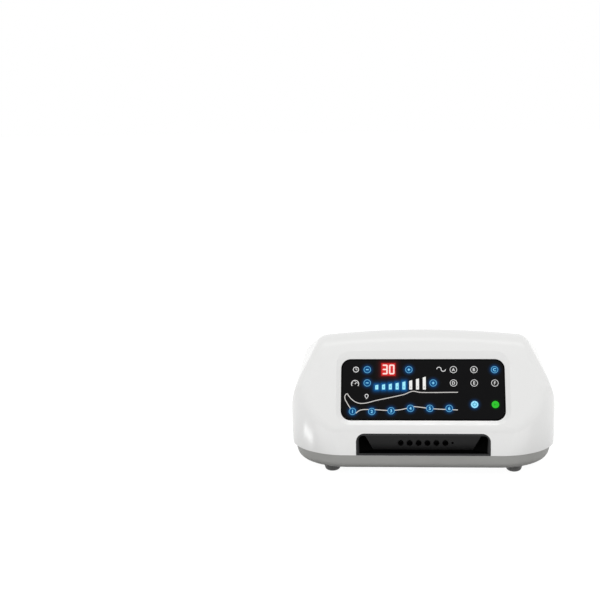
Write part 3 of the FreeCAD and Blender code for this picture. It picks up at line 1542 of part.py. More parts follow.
def fasteners():
    upside_down = Rotation(Vector(1, 0, 0), 180)
    seat = S.foot_height + S.housing_head_recess
    screws(
        "housing_screws", [Placement(Vector(x, y, seat), Rotation()) for x, y in column_places()],
        S.housing_screw_radius, S.housing_screw_length, S.housing_head_radius, S.housing_head_height,
    )
    behind = BOARD_TOP - S.board_thickness
    screws(
        "control_board_screws",
        [PANEL.multiply(Placement(Vector(x, y, behind), Rotation())) for x, y in board_screw_places()],
        S.small_screw_radius, S.board_thickness + S.small_screw_grip, S.small_head_radius,
        S.small_head_height,
    )
    screws(
        "main_board_screws",
        [Placement(Vector(x, y, MAIN_BOARD_TOP), upside_down) for x, y in post_places()],
        S.post_screw_radius, S.post_screw_grip, S.post_head_radius, S.post_head_height,
    )
    top = S.parting_height + S.ear_thickness
    screws(
        "socket_screws",
        [Placement(Vector(x, EAR_ROW, top), upside_down) for x in (-EAR_COLUMN, EAR_COLUMN)],
        S.post_screw_radius, S.ear_thickness + S.post_screw_grip, S.post_head_radius, S.post_head_height,
    )


# ---------------------------------------------------------------- build, check and write


def build():
    upper_housing()
    lower_housing()
    feet()
    control_panel()
    panel_gasket()
    keys()
    control_board()
    tact_switches()
    timer_display()
    pressure_bars()
    infrared_receiver()
    outer = shell_form(0.0, S.parting_height)
    frame = socket_frame(outer)
    socket_sill(frame, outer)
    air_ports()
    port_plates()
    air_tubes()
    valve_body()
    valve_rotor()
    valve_motor()
    supply_tube()
    compressor_frame()
    compressor_heads()
    compressor_coils()
    compressor_armature()
    compressor_mounts()
    intake_filter()
    main_board()
    transformer()
    capacitors()
    fuse_link()
    buzzer()
    power_inlet()
    inlet_pins()
    switch_housing()
    power_rocker()
    fasteners()


def check():
    """Stop on any failed feature and on any sub-part that isn't a valid solid."""
    doc.recompute()
    failed = [o.Name for o in doc.Objects if "Invalid" in o.State or "Error" in o.State]
    if failed:
        raise RuntimeError(f"features that failed: {failed}")
    for part in NODES:
        if part.Shape.isNull() or not part.Shape.isValid() or not part.Shape.Solids:
            raise RuntimeError(f"{part.Label} is not a valid solid")


def write():
    os.makedirs("parts", exist_ok=True)
    for part in NODES:
        part.Shape.exportStep(f"parts/{part.Label}.step")
        print(part.Label, len(part.Shape.Solids), "solids", round(part.Shape.Volume), "mm3")


build()
check()
write()
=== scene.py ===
# %% [markdown]
# # The console of a compression therapy pump
# This lesson dresses the imported parts of an air pump console: a gloss white shell on a grey tray, a black
# panel with lit keys, a black recess for six air hoses, and everything inside.
# Construction comes from the imported frame and isn't changed here. What the lesson adds is finish: printed
# and lit marks, paint, grain and gloss. First the frame is loaded and its box is kept.

# %% Load the frame
import json
import math

import bmesh
import bpy
from mathutils import Matrix, Vector

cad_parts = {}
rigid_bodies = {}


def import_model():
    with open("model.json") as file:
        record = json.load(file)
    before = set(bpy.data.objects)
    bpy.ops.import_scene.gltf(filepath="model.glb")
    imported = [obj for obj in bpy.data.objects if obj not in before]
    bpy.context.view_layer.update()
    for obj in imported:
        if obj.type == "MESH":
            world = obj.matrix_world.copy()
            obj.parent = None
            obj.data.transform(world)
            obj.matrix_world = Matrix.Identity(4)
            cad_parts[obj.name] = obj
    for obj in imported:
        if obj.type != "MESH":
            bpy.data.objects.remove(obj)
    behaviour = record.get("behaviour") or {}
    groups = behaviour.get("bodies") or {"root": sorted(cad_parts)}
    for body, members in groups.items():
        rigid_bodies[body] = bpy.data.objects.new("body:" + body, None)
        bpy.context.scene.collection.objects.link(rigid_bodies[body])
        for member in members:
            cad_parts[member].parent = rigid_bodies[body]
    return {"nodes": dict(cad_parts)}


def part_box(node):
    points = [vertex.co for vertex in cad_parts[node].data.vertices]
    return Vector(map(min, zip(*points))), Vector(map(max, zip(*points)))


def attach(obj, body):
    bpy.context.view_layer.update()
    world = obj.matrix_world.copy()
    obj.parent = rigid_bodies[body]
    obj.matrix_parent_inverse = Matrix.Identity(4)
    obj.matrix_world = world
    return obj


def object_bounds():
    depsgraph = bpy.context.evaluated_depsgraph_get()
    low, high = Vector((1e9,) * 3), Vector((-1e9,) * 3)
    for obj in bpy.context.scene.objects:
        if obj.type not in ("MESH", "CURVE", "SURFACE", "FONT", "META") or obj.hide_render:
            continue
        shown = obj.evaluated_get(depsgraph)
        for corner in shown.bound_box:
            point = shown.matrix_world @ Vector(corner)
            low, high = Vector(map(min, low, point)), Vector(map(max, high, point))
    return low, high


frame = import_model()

CAD_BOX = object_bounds()
MM = 0.001

# %% [markdown]
# ## Colours and nodes
# A colour picked from a screen is stored in sRGB, but a renderer adds up light in linear values, so every
# colour is written as a hex code and turned to linear by one function. Materials are graphs of nodes. One
# small function adds a node with its options, its values and its links, so that each material below reads
# as a list of what it is made of.

# %% Colour and node helpers
def paint(code):
    """Turn an sRGB hex code such as "#8A8A88" into linear red, green, blue and alpha."""
    channels = [int(code[i : i + 2], 16) / 255 for i in (1, 3, 5)]
    return [c / 12.92 if c <= 0.04045 else ((c + 0.055) / 1.055) ** 2.4 for c in channels] + [1.0]


def put(tree, kind, values=None, links=None, stops=None, **options):
    """Add one node: options are its settings, values fill sockets, links feed them, stops colour a ramp."""
    added = tree.nodes.new(kind)
    for option, choice in options.items():
        setattr(added, option, choice)
    for socket, value in (values or {}).items():
        added.inputs[socket].default_value = value
    for socket, source in (links or {}).items():
        tree.links.new(source, added.inputs[socket])
    for index, (spot, code) in enumerate(stops or ()):
        ramp = added.color_ramp.elements
        stop = ramp[index] if index < 2 else ramp.new(spot)
        stop.position = spot
        stop.color = paint(code)
    return added


def start_finish(name):
    """Begin a material: the material, its empty tree, and the Object coordinates in that."""
    finish = bpy.data.materials.new(name)
    finish.use_nodes = True
    tree = finish.node_tree
    tree.nodes.clear()
    return finish, tree, put(tree, "ShaderNodeTexCoord").outputs["Object"]


def end_finish(tree, shader, links):
    """End a material with its shader: constants on its own sockets, and links from the patterns."""
    constants = {socket.replace("_", " "): value for socket, value in shader.items()}
    surface = put(tree, "ShaderNodeBsdfPrincipled", values=constants, links=links)
    put(tree, "ShaderNodeOutputMaterial", links={"Surface": surface.outputs["BSDF"]})


def distance_from(tree, place, middle, half_size):
    """Distance in metres from a place to a box, given by its middle and half its size."""
    steps = (("SUBTRACT", {1: middle}), ("ABSOLUTE", {}), ("SUBTRACT", {1: half_size}),
             ("MAXIMUM", {1: (0.0, 0.0, 0.0)}))
    beyond = place
    for operation, constant in steps:
        beyond = put(tree, "ShaderNodeVectorMath", operation=operation, values=constant,
                     links={0: beyond}).outputs[0]
    return put(tree, "ShaderNodeVectorMath", operation="LENGTH", links={0: beyond}).outputs["Value"]


print("paint('#808080') =", [round(c, 3) for c in paint("#808080")])

# %% [markdown]
# ## Camera
# A product portrait is taken from a little above with a long lens, which keeps the sides upright. The lens
# is worked out from the angle that one pixel covers. The console sits right of the middle of the frame, so
# the camera is turned a little to the left and rolled a little, which keeps the console's long edges level.

# %% Camera
PIXELS = 600  # across the picture
SENSOR = 36.0  # mm
PIXELS_PER_RADIAN = 1385.1
CAMERA_PLACE = (-0.0186, -1.4521, 0.4666)
CAMERA_TURN = (78.283, 1.093, 4.168)  # degrees
camera_data = bpy.data.cameras.new("portrait_camera")
camera_data.sensor_width = SENSOR
camera_data.lens = PIXELS_PER_RADIAN * SENSOR / PIXELS
camera_data.clip_end = 50.0
camera = bpy.data.objects.new("portrait_camera", camera_data)
camera.location = CAMERA_PLACE
camera.rotation_euler = [math.radians(angle) for angle in CAMERA_TURN]
bpy.context.scene.collection.objects.link(camera)
bpy.context.scene.camera = camera
bpy.context.scene.view_settings.view_transform = "Standard"
print("lens:", round(camera_data.lens, 2), "mm")

# %% [markdown]
# ## Floor and backdrop
# The console stands on a white sweep, and the light that the paper throws up fills the shell's lower
# front. Close to the console that would wash out the tray's dark underside, so there the paper is black
# for the rays that carry light, and turns white over some centimetres. Rays from the camera, and rays
# that have bounced off gloss or passed through glass, see the paper itself: a plain white that only takes
# a faint shadow.

# %% Floor
def end_by_ray(tree, lighting, shown, output):
    """End a tree: rays that carry light meet one shader; camera, glossy and transmission rays another."""
    ray = put(tree, "ShaderNodeLightPath").outputs
    direct = ray["Is Camera Ray"]
    for kind in ("Is Glossy Ray", "Is Transmission Ray"):
        direct = put(tree, "ShaderNodeMath", operation="MAXIMUM", links={0: direct, 1: ray[kind]}).outputs[0]
    chosen = put(tree, "ShaderNodeMixShader",
                 links={0: direct, 1: lighting.outputs[0], 2: shown.outputs[0]})
    put(tree, output, links={"Surface": chosen.outputs[0]})


WHITE = paint("#FFFFFF")
FLOOR_SIZE = 8.0
SHADE_REACH = 0.07  # metres from the console's sides to the full tone of the paper
SHADE_TONE = 0.02  # share of light that the paper throws back beside the console
PAPER_TONE = 0.94  # and further away
PAPER_GLOW = 0.96  # a little less than white, because light that falls on the paper adds the rest
bpy.ops.object.select_all(action="DESELECT")
bpy.ops.mesh.primitive_plane_add(size=FLOOR_SIZE)
floor = bpy.context.object
floor.name = "studio_floor"
sweep, sheet, sheet_place = start_finish("matt_paper_sweep")
away = distance_from(sheet, sheet_place, (0.0, 0.0, 0.0), (*CAD_BOX[1].xy, 1.0))
tone = put(sheet, "ShaderNodeMapRange", links={"Value": away},
           values={"From Max": SHADE_REACH, "To Min": SHADE_TONE, "To Max": PAPER_TONE})
lighting = put(sheet, "ShaderNodeBsdfDiffuse", links={"Color": tone.outputs[0]})
paper = put(sheet, "ShaderNodeBsdfDiffuse", values={"Color": paint("#747474")})
glow = put(sheet, "ShaderNodeEmission", values={"Color": WHITE, "Strength": PAPER_GLOW})
shown = put(sheet, "ShaderNodeAddShader", links={0: paper.outputs[0], 1: glow.outputs[0]})
end_by_ray(sheet, lighting, shown, "ShaderNodeOutputMaterial")
floor.data.materials.append(sweep)
print("floor:", FLOOR_SIZE, "m square")

# %% [markdown]
# ## Light
# The shell is almost evenly bright, which is what a tent of white cloth gives. The world is that tent: a
# dome a little brighter at the horizon than overhead, so that the upright front isn't much darker than
# the face. One broad lamp above the front adds the direction that shapes the dome. The others show in
# gloss alone, as white cards do: a strip overhead lifts the ridge, a small card near the left front
# corner puts a soft highlight there, one with a narrow beam reaches only the bevel under the panel, and
# one that lies on the table is mirrored in the low front.

# %% World and lamps
HORIZON_LEVEL = 0.98
OVERHEAD_LEVEL = 0.88
CENTRE = (0.0, 0.0, 0.06)  # near the console's middle
world = bpy.data.worlds.new("white_tent")
bpy.context.scene.world = world
world.use_nodes = True
tent = world.node_tree
tent.nodes.clear()
direction = put(tent, "ShaderNodeTexCoord").outputs["Generated"]
height = put(tent, "ShaderNodeSeparateXYZ", links={0: direction}).outputs["Z"]
level = put(tent, "ShaderNodeMapRange", links={"Value": height},
            values={"To Min": HORIZON_LEVEL, "To Max": OVERHEAD_LEVEL})
lit = put(tent, "ShaderNodeBackground", values={"Color": WHITE}, links={"Strength": level.outputs[0]})
seen = put(tent, "ShaderNodeBackground", values={"Color": WHITE, "Strength": 1.0})
end_by_ray(tent, lit, seen, "ShaderNodeOutputWorld")


def softbox(name, place, target, size, watts, only_gloss=False, roll=0.0, beam=180.0):
    """An area lamp that faces a target, for all light or only for gloss. Roll and beam are in degrees."""
    lamp = bpy.data.lights.new(name, "AREA")
    lamp.shape = "RECTANGLE"
    lamp.size, lamp.size_y = size
    lamp.energy = watts
    lamp.spread = math.radians(beam)
    holder = bpy.data.objects.new(name, lamp)
    holder.location = place
    facing = (Vector(target) - Vector(place)).to_track_quat("-Z", "Y").to_matrix()
    holder.rotation_euler = (facing @ Matrix.Rotation(math.radians(roll), 3, "Z")).to_euler()
    holder.visible_diffuse = not only_gloss
    holder.visible_camera = False
    bpy.context.scene.collection.objects.link(holder)


softbox("overhead_softbox", place=(0.0, -0.7, 1.6), target=CENTRE, size=(1.6, 1.2), watts=1.4)
softbox("overhead_strip", place=(0.0, 0.15, 1.5), target=CENTRE, size=(1.4, 0.35), watts=1.9,
        only_gloss=True)
softbox("corner_card", place=(-0.206, -0.0895, 0.0137), target=(-0.117, -0.088, 0.042), size=(0.05, 0.01),
        watts=0.0095, only_gloss=True, roll=-15.0)
softbox("bevel_card", place=(0.004, -0.026, 0.348), target=(0.0, -0.096, 0.0565), size=(0.24, 0.02),
        watts=0.0005, only_gloss=True, beam=12.0)
softbox("table_card", place=(-0.01, -0.3, 0.003), target=(-0.01, -0.3, 1.0), size=(0.6, 0.3), watts=0.75,
        only_gloss=True)

# %% [markdown]
# ## Moulded finishes
# Most of the console is injection moulded. A moulding is never one flat colour: pigment drifts a little
# over centimetres, and the tool leaves a grain over tenths of a millimetre that breaks up the gloss. One
# recipe draws both with noise: a slow noise mixes two near tones, and a fine one drives roughness and a
# small bump. A polished tool gives a long, shallow wave, and a spark-eroded tool a short, deeper one.

# %% The recipe for a moulding
NOISE_LEVELS = (0.3, 0.7)  # most of a noise lies between these levels


def tones_and_gloss(tree, pattern, grain, tones, rough, levels=(0.0, 1.0)):
    """Two tones mixed by a pattern, and a roughness that goes from one value to another with a grain."""
    tone = put(tree, "ShaderNodeMixRGB", links={"Fac": pattern},
               values={"Color1": paint(tones[0]), "Color2": paint(tones[1])})
    gloss = put(tree, "ShaderNodeMapRange", links={"Value": grain},
                values={"From Min": levels[0], "From Max": levels[1],
                        "To Min": rough[0], "To Max": rough[1]})
    return {"Base Color": tone.outputs[0], "Roughness": gloss.outputs[0]}


def mottled(name, tones, drift, grain, depth, rough, **shader):
    """A finish whose tone drifts over a length, with a grain and its depth, all in mm, and a roughness."""
    finish, tree, place = start_finish(name)
    slow = put(tree, "ShaderNodeTexNoise", values={"Scale": 1 / (drift * MM), "Detail": 2.0},
               links={"Vector": place}).outputs[0]
    fine = put(tree, "ShaderNodeTexNoise", values={"Scale": 1 / (grain * MM), "Detail": 3.0},
               links={"Vector": place}).outputs[0]
    links = tones_and_gloss(tree, slow, fine, tones, rough, NOISE_LEVELS)
    relief = put(tree, "ShaderNodeBump", values={"Strength": 1.0, "Distance": depth * MM},
                 links={"Height": fine})
    end_finish(tree, shader, {**links, "Normal": relief.outputs[0]})
    return finish


FRONT_GLOSS = 0.12  # specular level of the socket's front edge; behind it the walls lose it to painted shade
# Gloss white ABS from a polished tool: bright and even, with a slow wave in its reflections.
WHITE_ABS = mottled("gloss_white_abs", ("#EDEDEC", "#EAEAE9"), 60, 5, 0.004, (0.17, 0.23), IOR=1.53)
# Grey ABS from a spark-eroded tool: a dull, even grain that hides handling marks.
GREY_ABS = mottled("spark_textured_grey_abs", ("#BABAB7", "#B4B4B1"), 25, 0.6, 0.02, (0.48, 0.62), IOR=1.53,
                   Specular_IOR_Level=0.2)
# Black ABS with a satin tool finish and a weak gloss. Inside the hose socket its walls get painted shade,
# below.
SATIN_ABS = mottled("satin_black_abs", ("#262627", "#2B2B2C"), 20, 0.5, 0.008, (0.30, 0.40), IOR=1.53,
                    Specular_IOR_Level=FRONT_GLOSS)
# Black nylon of the hose ports: a little duller than ABS, so that the bores read as holes.
BLACK_NYLON = mottled("moulded_black_nylon", ("#141415", "#191919"), 12, 0.4, 0.01, (0.40, 0.52), IOR=1.53,
                      Specular_IOR_Level=0.16)
# Black PBT of mains fittings: dull, hard and faintly speckled by its glass filling.
BLACK_PBT = mottled("glass_filled_black_pbt", ("#19191A", "#252525"), 3, 0.3, 0.01, (0.42, 0.58), IOR=1.57)
# Nitrile rubber: dark grey and dull, with a powdery bloom on it.
RUBBER = mottled("moulded_nitrile_rubber", ("#525251", "#5E5E5D"), 8, 0.5, 0.02, (0.38, 0.55), IOR=1.52)
# Grey ABS inside the case, straight from the tool.
INNER_ABS = mottled("plain_grey_abs", ("#777A7C", "#6E7173"), 20, 0.8, 0.01, (0.35, 0.5), IOR=1.53)
# Acetal of the air valve: milky and waxy.
ACETAL = mottled("natural_white_acetal", ("#E4E2DA", "#DAD7CC"), 10, 0.8, 0.01, (0.3, 0.42), IOR=1.48)
# Epoxy-cased electronic components: black, matt, finely pitted.
BLACK_EPOXY = mottled("moulded_black_epoxy", ("#141414", "#1E1E1E"), 5, 0.3, 0.01, (0.45, 0.6), IOR=1.55)
# Closed-cell foam of the panel gasket: charcoal, with cells that show.
FOAM = mottled("closed_cell_foam", ("#242426", "#333336"), 2, 0.7, 0.08, (0.85, 0.95))
# Wool felt of the air filter: off-white fibres in every direction.
FELT = mottled("wool_felt", ("#D9D5C8", "#BDB8A8"), 3, 0.5, 0.15, (0.9, 1.0), Sheen_Weight=0.4)
# Milky silicone hose: soft, and lets some light through its wall.
SILICONE = mottled("milky_silicone", ("#DCE0E0", "#C9CFD0"), 15, 2, 0.01, (0.35, 0.45), IOR=1.43,
                   Subsurface_Weight=0.3, Subsurface_Scale=0.002)
# Red-tinted epoxy over the timer's diodes.
RED_EPOXY = mottled("red_tinted_epoxy", ("#5A0B0B", "#480808"), 4, 1, 0.005, (0.2, 0.3), IOR=1.55)
# Milky epoxy over the pressure diodes.
MILKY_EPOXY = mottled("milky_diffusing_epoxy", ("#DDE7EE", "#CFDCE6"), 3, 1, 0.005, (0.25, 0.35), IOR=1.55)
# Infrared window: looks black, with a trace of red.
INFRARED = mottled("infrared_window_epoxy", ("#160507", "#1F070A"), 3, 1, 0.005, (0.12, 0.2), IOR=1.55)
print("moulded finishes:", len(bpy.data.materials))

# %% [markdown]
# ## Painted shade inside the socket
# The hose socket is black all through. Its front edge keeps the satin grey tone and gloss, and behind it the
# walls are painted nearly black with almost no gloss: painted shade for the dark inside of the recess. The
# depth behind the front plane is one dot product, and it turns the front's tone and gloss into that painted
# shade. Vertex paint could do the same, but a depth stays sharp.

# %% Depth behind the socket's front
def painted_recess_shade(finish, front, inwards, depths, code, gloss):
    """Painted shade: turn a finish's colour and gloss darker between two depths in mm behind a plane."""
    tree = finish.node_tree
    surface = next(node for node in tree.nodes if node.type == "BSDF_PRINCIPLED")
    place = next(node for node in tree.nodes if node.type == "TEX_COORD").outputs["Object"]
    offset = put(tree, "ShaderNodeVectorMath", operation="SUBTRACT", links={0: place}, values={1: front})
    depth = put(tree, "ShaderNodeVectorMath", operation="DOT_PRODUCT", links={0: offset.outputs[0]},
                values={1: inwards})
    share = put(tree, "ShaderNodeMapRange", links={"Value": depth.outputs["Value"]},
                values={"From Min": depths[0] * MM, "From Max": depths[1] * MM})
    front_tone = surface.inputs["Base Color"].links[0].from_socket
    tone = put(tree, "ShaderNodeMixRGB", links={"Fac": share.outputs[0], "Color1": front_tone},
               values={"Color2": paint(code)})
    tree.links.new(tone.outputs[0], surface.inputs["Base Color"])
    sheen = put(tree, "ShaderNodeMapRange", links={"Value": share.outputs[0]},
                values={"To Min": gloss[0], "To Max": gloss[1]})
    tree.links.new(sheen.outputs[0], surface.inputs["Specular IOR Level"])


PARTING_HEIGHT = 24.0  # mm, where shell and tray meet
SOCKET_LEAN = math.atan2(2.0, 27.25)  # the front wall leans back by 2 mm over its 27.25 mm
RECESS_SHADE_DEPTHS = (0.5, 1.6)  # mm behind the front, between which the painted shade of the socket's walls sets in
# painted shade: the near black and the low gloss that the socket's walls get, for the shade inside the recess
WALL_SHADE_TONE = "#020202"
WALL_SHADE_GLOSS = 0.02
socket_front = Vector((0.0, CAD_BOX[0].y, PARTING_HEIGHT * MM))
socket_inwards = Vector((0.0, math.cos(SOCKET_LEAN), -math.sin(SOCKET_LEAN)))
# paint shade on the socket's walls behind its front edge
painted_recess_shade(SATIN_ABS, socket_front, socket_inwards, RECESS_SHADE_DEPTHS, WALL_SHADE_TONE,
                 (FRONT_GLOSS, WALL_SHADE_GLOSS))
print("socket front at", socket_front)

# %% [markdown]
# ## Metal and glass finishes
# Metals take their colour from their reflections, so Metallic is 1 and the base colour is the reflected
# one. Die casting leaves a soft, sandy skin, zinc plating a bright one with blotches, and a stack of
# steel sheets shows the edge of every sheet as a line.

# %% Metals and glass
CAST_ALUMINIUM = mottled("die_cast_aluminium", ("#B4B5B6", "#A3A4A6"), 6, 0.5, 0.03, (0.4, 0.55),
                         Metallic=1.0)
ZINC = mottled("zinc_plated_steel", ("#C3C5C8", "#AEB1B6"), 2, 0.6, 0.004, (0.22, 0.36), Metallic=1.0)
NICKEL = mottled("nickel_plated_brass", ("#C9C3B4", "#BBB5A6"), 3, 1, 0.003, (0.14, 0.24), Metallic=1.0)
# Thin drawn glass of the fuse: clear, with a trace of green.
FUSE_GLASS = mottled("drawn_soda_glass", ("#EEF4F2", "#E6EFEC"), 10, 3, 0.002, (0.03, 0.06), IOR=1.52,
                     Transmission_Weight=0.85)


def layered(name, tones, step, along, rough, **shader):
    """A wound or stacked finish: lines of two tones, a step of step mm apart, along an axis."""
    finish, tree, place = start_finish(name)
    lines_per_unit = 2 * math.pi / 20 / (step * MM)  # a wave texture has 20 / 2 pi waves a unit at scale 1
    lines = put(tree, "ShaderNodeTexWave", bands_direction=along, links={"Vector": place},
                values={"Scale": lines_per_unit, "Distortion": 0.6, "Detail": 2.0}).outputs["Fac"]
    links = tones_and_gloss(tree, lines, lines, tones, rough)
    relief = put(tree, "ShaderNodeBump", values={"Strength": 0.6, "Distance": step / 3 * MM},
                 links={"Height": lines})
    end_finish(tree, shader, {**links, "Normal": relief.outputs[0]})
    return finish


# Enamelled copper wire wound in layers: warm, with a dark gap between turns.
COPPER = layered("enamelled_copper_winding", ("#5A2A12", "#C77B45"), 0.6, "Z", (0.3, 0.5), Metallic=0.8)
# A stack of varnished silicon steel sheets, each half a millimetre thick.
STEEL_STACK = layered("laminated_silicon_steel", ("#4C4F52", "#8B8F93"), 0.5, "Y", (0.35, 0.5), Metallic=0.8)
# Green solder mask over copper tracks: the tracks show as paler lines 1.3 mm apart.
LAMINATE = layered("solder_masked_laminate", ("#0C3F25", "#15613A"), 1.3, "X", (0.3, 0.42), IOR=1.5)
print("finishes:", len(bpy.data.materials))

# %% [markdown]
# ## The lit panel
# The panel is one sheet of black acrylic over rows of small diodes. Near a lit mark, light leaks sideways
# through the sheet and leaves a dark blue or red haze. The haze could be a picture, but here it is worked
# out: each lamp behind the sheet is a rectangle or a point in the panel's own plane, the distance from it
# is measured with five vector nodes, the nearest of each colour counts, and a ramp turns distance into
# haze. The keys share the material, so the haze runs on across their caps.

# %% The panel's own plane
PANEL_SLOPE = math.radians(59.0)
PANEL_FOOT = Vector((0.0, -95.350, 59.822)) * MM  # middle of the panel's lower edge, level with the shell
PANEL_SUNK = 3.0  # mm that the sheet's face lies below the shell's
PANEL_PLACE = Matrix.Translation(PANEL_FOOT) @ Matrix.Rotation(PANEL_SLOPE, 4, "X")

# %% Where the keys are
def panel_extent(node):
    """Lowest and highest corner of a CAD node in the panel's own plane, in mm: across, up and outward."""
    to_panel = PANEL_PLACE.inverted()
    corners = [to_panel @ vertex.co / MM for vertex in frame["nodes"][node].data.vertices]
    return Vector(map(min, zip(*corners))), Vector(map(max, zip(*corners)))


KEYS = {}  # for each key its middle across and up, and the height of its top, in mm
for node_name in sorted(frame["nodes"]):
    if node_name.startswith("key_"):
        low, high = panel_extent(node_name)
        KEYS[node_name] = ((low.x + high.x) / 2, (low.y + high.y) / 2, high.z)
LIT_KEYS = ["key_time_minus", "key_time_plus", "key_pressure_minus", "key_pressure_plus", "key_mode_c",
            "key_power"]
LIT_KEYS += [name for name in KEYS if "position" in name]
for name, (across, up, outward) in KEYS.items():
    state = "lit" if name in LIT_KEYS else ""
    print(f"{name}: {across:.1f} across, {up:.1f} up, top at {outward:.2f} mm", state)

# %% Where the timer and the pressure bars are
TIMER_MIDDLE = (-35.2, 54.0)  # mm across and up, in the panel's plane
TIMER_SIZE = (14.1, 13.0)
BAR_START = -47.1
BAR_STEP = 6.96
BAR_WIDTH = 3.1
BAR_FOOT = 32.6
BAR_HEIGHTS = (4.7, 5.3, 5.9, 6.9, 8.2, 9.5, 11.3, 13.2)
BAR_SLANT = 0.9  # mm that a bar's right top corner is higher than its left one
LIT_BARS = 5
print("timer at", TIMER_MIDDLE, "bars from", BAR_START, "to", BAR_START + BAR_STEP * (len(BAR_HEIGHTS) - 1))

# %% The lamps behind the panel
key_lamps = [(KEYS[name][:2], (0.0, 0.0)) for name in LIT_KEYS]
start_lamps = [(KEYS["key_start"][:2], (0.0, 0.0))]
timer_lamps = [(TIMER_MIDDLE, (TIMER_SIZE[0] / 2, TIMER_SIZE[1] / 2))]
bar_lamps = []
for index in range(LIT_BARS):
    middle = (BAR_START + index * BAR_STEP, BAR_FOOT + BAR_HEIGHTS[index] / 2)
    bar_lamps.append((middle, (BAR_WIDTH / 2, BAR_HEIGHTS[index] / 2)))
HAZE_REACH = 8.0  # mm from a lamp at which every haze has died away
KEY_HAZE = [(0.0, "#00528C"), (3.0, "#004A80"), (3.9, "#00345E"), (4.8, "#002244"), (6.0, "#000F20"),
            (7.8, "#000000")]
START_HAZE = [(0.0, "#002C00"), (4.2, "#002400"), (5.2, "#000E00"), (6.4, "#000000")]
TIMER_HAZE = [(0.0, "#A81410"), (0.5, "#6E0A08"), (1.5, "#380404"), (4.0, "#140101"), (7.0, "#000000")]
BAR_HAZE = [(0.0, "#0A5E9C"), (1.2, "#004C86"), (2.2, "#003056"), (4.0, "#001226"), (6.5, "#000000")]
HAZES = [(key_lamps, KEY_HAZE), (start_lamps, START_HAZE), (timer_lamps, TIMER_HAZE), (bar_lamps, BAR_HAZE)]
print("lamps behind the acrylic:", sum(len(lamps) for lamps, _ in HAZES))

# %% The acrylic and its haze
def nearest_lamp(tree, flat_place, lamps):
    """Distance in metres from a panel point to the nearest lamp, each one (middle, half size) in mm."""
    nearest = None
    for (across, up), (half_width, half_height) in lamps:
        middle = (across * MM, up * MM, 0.0)
        distance = distance_from(tree, flat_place, middle, (half_width * MM, half_height * MM, 1.0))
        if nearest is not None:
            distance = put(tree, "ShaderNodeMath", operation="MINIMUM",
                           links={0: nearest, 1: distance}).outputs[0]
        nearest = distance
    return nearest


DUST_SPACING = 9.0  # mm, over which the black drifts a little
EDGE_CORNER = 10.0  # mm, the radius of the sheet's corners
EDGE_SHADE_FADE = (EDGE_CORNER - 1.6, EDGE_CORNER - 1.1)  # mm from the inner box, where painted shade for the gap round the sheet turns its edge black
sheet_low, sheet_high = panel_extent("control_panel")
sheet_half = (sheet_high - sheet_low) / 2
EDGE_BOX = ((0.0, (sheet_low.y + sheet_half.y) * MM, 0.0),
            ((sheet_half.x - EDGE_CORNER) * MM, (sheet_half.y - EDGE_CORNER) * MM, 1.0))


def backlit(name, tones, rough, **shader):
    """Black acrylic with a haze of light round each lamp behind it."""
    finish, tree, place = start_finish(name)
    turned = put(tree, "ShaderNodeMapping", vector_type="TEXTURE", links={"Vector": place},
                 values={"Location": PANEL_FOOT, "Rotation": (PANEL_SLOPE, 0.0, 0.0)}).outputs[0]
    haze = None
    for lamps, stops in HAZES:
        share = put(tree, "ShaderNodeMath", operation="DIVIDE", values={1: HAZE_REACH * MM},
                    links={0: nearest_lamp(tree, turned, lamps)})
        spots = [(distance / HAZE_REACH, code) for distance, code in stops]
        colour = put(tree, "ShaderNodeValToRGB", links={"Fac": share.outputs[0]}, stops=spots).outputs[0]
        if haze is not None:
            colour = put(tree, "ShaderNodeMixRGB", blend_type="ADD", values={"Fac": 1.0},
                         links={"Color1": haze, "Color2": colour}).outputs[0]
        haze = colour
    dust = put(tree, "ShaderNodeTexNoise", values={"Scale": 1 / (DUST_SPACING * MM), "Detail": 3.0},
               links={"Vector": place}).outputs[0]
    links = tones_and_gloss(tree, dust, dust, tones, rough, NOISE_LEVELS)
    # painted shade: the sheet's edge turns black for the shadow in the gap round it; the distance from an
    # inner box makes round corners
    edge = put(tree, "ShaderNodeMapRange", links={"Value": distance_from(tree, turned, *EDGE_BOX)},
               values={"From Min": EDGE_SHADE_FADE[0] * MM, "From Max": EDGE_SHADE_FADE[1] * MM})
    tone = put(tree, "ShaderNodeMixRGB", links={"Fac": edge.outputs[0], "Color1": links["Base Color"]},
               values={"Color2": paint("#000000")})
    end_finish(tree, {**shader, "Emission_Strength": 1.0},
               {**links, "Base Color": tone.outputs[0], "Emission Color": haze})
    return finish


# Black acrylic with an anti-glare coat: nearly black from every side, with a weak, clean reflection.
ACRYLIC = backlit("anti_glare_black_acrylic", ("#111112", "#131314"), (0.16, 0.2), IOR=1.49,
                  Specular_IOR_Level=0.03)
print("nodes in the acrylic:", len(ACRYLIC.node_tree.nodes))

# %% [markdown]
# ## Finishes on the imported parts
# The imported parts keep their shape, and each gets the finish of the material that it is made of on the real
# console. A table of name beginnings keeps this readable, because parts of one kind share a beginning.

